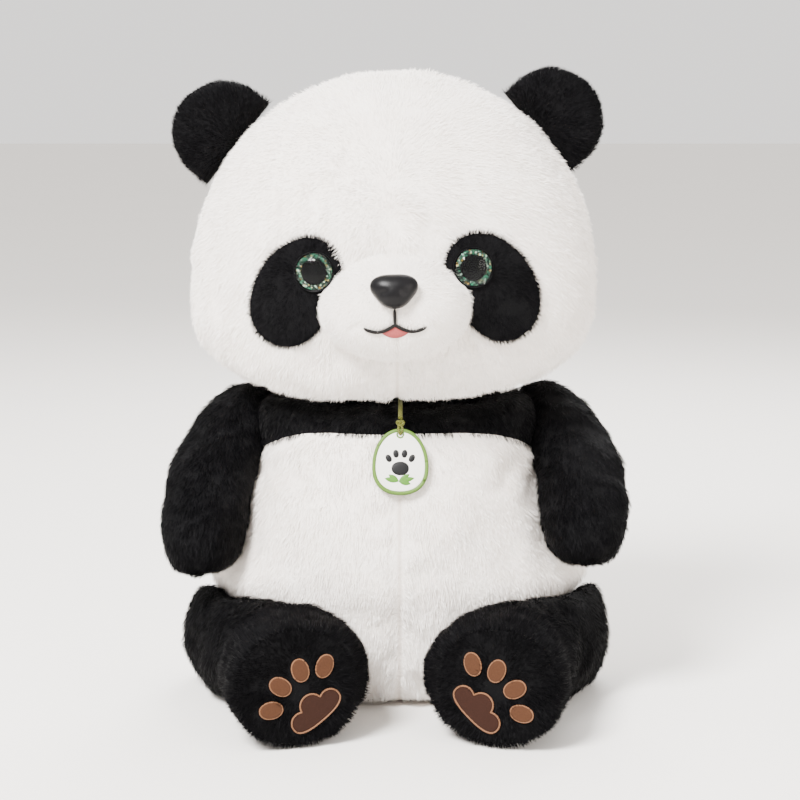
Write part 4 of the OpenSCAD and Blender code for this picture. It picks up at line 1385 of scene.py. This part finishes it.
def make_arms():
    """Both arms, one lifted a little."""
    for name, side in SIDES.items():
        def carry(p, side=side, name=name):
            return body_frame(mirrored(turned(p, (1, 0, 0), -ARM_LIFT[name], SHOULDER), side))

        rows = curve_rows(ARM_KEYS, 42)
        rows[:, 3:] = np.maximum(rows[:, 3:] - 1.0, 0.4)
        skin = Skin(ringed(rows, (1, 0, 0), (0, 1, 0), 2.1, 56), np.array([127, -58, 89.8]),
                    np.array([100, 6, 208.8]))
        p = skin.points
        p[:, 0] += ARM_OUT[name] * ramp((185 - p[:, 2]) / 70)
        skin.moved(0.9 * lumps(p, 40, 12 + side) + 0.4 * lumps(p, 17, 15 + side))
        seam = np.abs(p[:, 1] - np.interp(p[:, 2], rows[:, 2], rows[:, 1])) < 2
        pinned = (seam & (p[:, 0] < 118)) | (p[:, 2] > 196)
        skin = in_frame(skin, carry).puffed(pinned, 1.8 * MM)
        cover = skin.made(f"arm_pile_{name}", dark_cloth)
        start, end = carry(np.array([107, 2, 200.0])), carry(np.array([118, -10, 166.0]))
        joint = ("torso", tuple(start), tuple(end))
        stands_for(cover, f"arm_{name}", "dark_fur", f"arm_cover_{name}", f"arm_filling_{name}",
                   fill=0.85, joint=joint)
        down = carry(np.array([127, -56, 92.0])) - carry(np.array([107, 4, 200.0]))
        tip = carry(np.array([127, -54, 112.0]))

        def flow(root, out):
            return unit(down)[None] + 0.5 * unit(root - tip) * np.array([1, 1, 0.6])

        fur = strands(f"arm_fur_{name}", skin, dark_hair, "arm", flow, rise=0.42, wild=0.16,
                      seed=71 + side)
        dress(fur, f"arm_{name}", "dark_fur", joint)


make_arms()


# ---- Legs, soles and pads ----

LEG_KEYS = [(132, 11, 37, 0.5, 0.5, 0), (132, 9, 37, 9, 22, 0), (132, -8, 37, 12, 31, 0),
            (129, -30, 37.5, 15.5, 35, 0), (118.5, -56, 38, 17.5, 36, 0), (103.5, -77, 38.5, 24, 37, -2),
            (83.5, -97, 39.5, 35.5, 38.5, -6), (71, -119, 40, 43.5, 39.5, -14),
            (65, -145, 39.8, 46.5, 39, -18), (63, -162, 39.5, 45, 38.6, -18),
            (62.5, -171, 39.5, 38, 36, -18)]
SOLE_AT, SOLE_TURN, SOLE_W, SOLE_T = np.array([64.0, -172.0, 41.5]), 18.0, 76.0, 2.5
PAD_TURN = {"left": 43.0, "right": 37.0}
TOES = [(57, 26), (20, 24), (-19, 24), (-56, 26)]
TOE_R = (5.3, 7.4)
PAD_AT = np.array([-4.5, -6.5, 0.0])  # on the sole, the point that the pads turn about
PAD_MAIN = np.array([0, -11.0, 0])
TOES_FROM = np.array([0, -8.0, 0])  # each toe lies at an angle and a reach from here
PAD_LOBES = ((0, 2.5, 8.0), (-11.5, -2.2, 7.2), (11.5, -2.2, 7.2))  # across, up and radius


def sole_frame(p, side):
    """Sole coordinates, x across, y up and z outwards, to the row frame."""
    return body_frame(mirrored(facing(p, SOLE_AT, -SOLE_TURN), side))


def pad_frame(p, name):
    """Pad coordinates on the sole to the row frame: the pads are turned outwards."""
    q = turned(p, (0, 0, 1), -PAD_TURN[name]) + PAD_AT + np.array([0, 0, SOLE_T])
    return sole_frame(q, SIDES[name])


def sole_skin(side):
    """The round sole: a low cushion, (1 - r ** 6) high inside a superellipse outline."""
    s = np.sqrt(np.linspace(0, 1, 26))[1:]
    t = np.linspace(0, 2 * math.pi, 96, endpoint=False)
    ring = np.stack([spow(np.cos(t), 2 / 2.1), spow(np.sin(t), 2 / 2.1), 0 * t], 1) * (SOLE_W / 2)
    top = np.array([ring * k + [0, 0, SOLE_T - 1.6 + 1.6 * (1 - k ** 6)] for k in s])
    under = np.array([ring * 0.99 + [0, 0, -0.6], ring * 0.9 + [0, 0, -1.5]])
    skin = Skin(np.concatenate([top, under]), np.array([0, 0, SOLE_T]), np.array([0, 0, -1.5]))
    skin.points = skin.points * [1, 0.97, 1] - [0, 1.4, 0]
    return in_frame(skin, lambda q: sole_frame(q, side))


def pad_line(inset, count=150):
    """The cloud outline of the main pad: three lobes towards the toes above one smooth arc.

    x is half the width times cos t; y is the highest of the lobes' circles, or the arc below.
    """
    t = np.linspace(0, 2 * math.pi, count, endpoint=False)
    half = 18.7 - inset
    x = half * np.cos(t)
    lobes = [cy + np.sqrt(((r - inset) ** 2 - (x - cx) ** 2).clip(0))
             for cx, cy, r in PAD_LOBES]
    lobes[0] = np.where(np.abs(x) < 8.0 - inset, lobes[0], -2.2)
    arc = -2.2 - (8.2 - inset) * (1 - np.abs(x / half) ** 2.6).clip(0) ** (1 / 2.6)
    return np.stack([x, np.where(np.sin(t) >= 0, np.max(lobes, 0), arc), 0 * t], 1)


def low_pad(line, rise, middle):
    """A flat-topped embroidered pad on an outline, its edge rounded down."""
    rows = [(0.1, rise), (0.35, rise), (0.6, rise), (0.8, rise), (0.92, rise * 0.93), (0.98, rise * 0.62),
            (1.0, rise * 0.2), (0.99, -0.8)]
    rings = np.array([middle + (line - middle) * k + [0, 0, z] for k, z in rows])
    return Skin(rings, middle + [0, 0, rise], middle + [0, 0, -0.8])


def make_feet(name, side):
    """A foot's sole and its fur, which leaves the pads clear, and the embroidered pads."""
    body = f"leg_{name}"
    sole = sole_skin(side)
    cover = sole.made(f"sole_cover_{name}", dark_cloth)
    stands_for(cover, body, "dark_fur", f"foot_sole_{name}")
    centre = sole_frame(PAD_AT + np.array([0, 0, 2.0]), side)
    zero = sole_frame(np.zeros(3), side)
    axes = [unit(sole_frame(e, side) - zero) for e in np.eye(3)]

    def flat(root):
        """Pad coordinates of points on the sole."""
        q = np.stack([(root - zero) @ a for a in axes], 1) / MM
        return turned(q - PAD_AT, (0, 0, 1), PAD_TURN[name])

    def on_sole(root, out):
        q = flat(root)
        clear = np.ones(len(q), bool)
        for angle, reach in TOES:
            toe = turned(q - TOES_FROM, (0, 0, 1), -angle) - np.array([0, reach, 0])
            clear &= (toe[:, 0] / (TOE_R[0] + 0.9)) ** 2 + (toe[:, 1] / (TOE_R[1] + 0.9)) ** 2 > 1
        m = q - PAD_MAIN
        for cx, cy, r in (*PAD_LOBES, (0, -3.0, 8.0)):
            clear &= np.hypot(m[:, 0] - cx, m[:, 1] - cy) > r + 0.7
        return clear & ((root - zero) @ axes[2] > -0.5 * MM)

    def flow(root, out):
        return unit(root - centre) + np.array([0, 0, -0.25])

    fur = strands(f"sole_fur_{name}", sole, dark_hair, "sole", flow, rise=0.7, wild=0.22,
                  seed=81 + side, keep=on_sole)
    dress(fur, body, "dark_fur")

    def pad_place(q):
        return pad_frame(q, name)

    def toe_place(angle, reach):
        return lambda q: pad_place(turned(q + np.array([0, reach, 0]), (0, 0, 1), angle) + TOES_FROM)

    inner = pad_line(0.6) + PAD_MAIN
    pad = in_frame(low_pad(inner, 1.5, PAD_MAIN + np.array([0, -1.5, 0])), pad_place)
    pad = pad.made(f"paw_pad_felt_{name}", brown_pad)
    stands_for(pad, body, "paw_pad", f"paw_pad_{name}")
    centre_line = evened(pad_line(0.5, 400), 260) + PAD_MAIN + np.array([0, 0, 1.1])
    loop = np.concatenate([centre_line, centre_line[:1]])
    run = np.concatenate([[0], np.cumsum(np.linalg.norm(np.diff(loop, axis=0), axis=1))])
    border = in_frame(tube_skin(loop, 0.50 + 0.08 * np.abs(np.sin(math.pi * run / 0.9))), pad_place)
    border = border.made(f"pad_border_silk_{name}", tan_silk, 0)
    stands_for(border, body, "pad_stitch", f"pad_border_{name}")
    t = np.linspace(0, 2 * math.pi, 64, endpoint=False)
    oval = np.stack([TOE_R[0] * spow(np.cos(t), 2 / 2.1), TOE_R[1] * spow(np.sin(t), 2 / 2.1), 0 * t], 1)
    for k, (angle, reach) in enumerate(TOES):
        toe = in_frame(low_pad(oval, 1.7, np.zeros(3)), toe_place(angle, reach))
        edge = in_frame(tube_skin(np.concatenate([oval, oval[:1]]) + [0, 0, 0.9], 0.5, 8),
                        toe_place(angle, reach)).made(f"toe_edge_{name}_{k + 1}", tan_silk, 0)
        stands_for(edge, body, "toe_pad")
        toe = toe.made(f"toe_pad_silk_{name}_{k + 1}", toe_silk)
        stands_for(toe, body, "toe_pad", f"toe_pad_{name}_{k + 1}")


def make_legs():
    """Both legs and their feet."""
    for name, side in SIDES.items():
        def carry(p, side=side):
            return body_frame(mirrored(p, side))

        rows = curve_rows(LEG_KEYS, 60)
        rows[:, 3:5] = np.maximum(rows[:, 3:5] - 0.8, 0.4)
        a = np.radians(rows[:, 5])
        u = np.stack([np.cos(a), np.sin(a), 0 * a], 1)
        skin = Skin(ringed(rows, u, (0, 0, 1), 2.1, 72), np.array([132, 11.3, 37]),
                    SOLE_AT + np.array([0.3, 1.0, 0]))
        p = skin.points
        foot = p[:, 1] < -160
        skin.moved((1.0 * lumps(p, 42, 22 + side) + 0.4 * lumps(p, 18, 25 + side)) * ~foot)
        pinned = foot | (p[:, 1] > -4) | (p[:, 2] < 3)
        skin = in_frame(skin, carry).puffed(pinned, 1.8 * MM)
        skin.points[:, 2] = np.maximum(skin.points[:, 2], 0.3 * MM)
        cover = skin.made(f"leg_pile_{name}", dark_cloth)
        start, end = carry(np.array([130, 2, 37.0])), carry(np.array([124, -42, 37.0]))
        joint = ("torso", tuple(start), tuple(end))
        body = f"leg_{name}"
        stands_for(cover, body, "dark_fur", f"leg_cover_{name}", f"leg_filling_{name}", fill=0.85,
                   joint=joint)
        line = body_frame(mirrored(rows[:, :3], side))
        way = unit(np.gradient(line, axis=0))
        if way[-1, 1] > 0:
            way = -way

        def flow(root, out):
            near = np.abs(root[:, 1:2] - line[None, :, 1]).argmin(1)
            foot = ramp((BODY_Y * MM - root[:, 1:2] - 0.105) / 0.04)
            thigh = way[near] * 0.4 + np.array([0, 0, -1.0])
            return thigh * (1 - foot) + (unit(root - line[near]) * 0.5 - way[near] * 0.7) * foot

        front = SOLE_AT + np.array([0.0, 1.0, 0])
        cut = carry(front)
        ahead = unit(sole_frame(np.array([0, 0, 1.0]), side) - sole_frame(np.zeros(3), side))

        def on_leg(root, out):
            return ((root - cut) @ ahead < -0.5 * MM) & (root[:, 2] > 1.2 * MM)

        fur = strands(f"leg_fur_{name}", skin, dark_hair, "leg", flow, rise=0.55, wild=0.16,
                      seed=91 + side, keep=on_leg)
        dress(fur, body, "dark_fur", joint)
        make_feet(name, side)


make_legs()
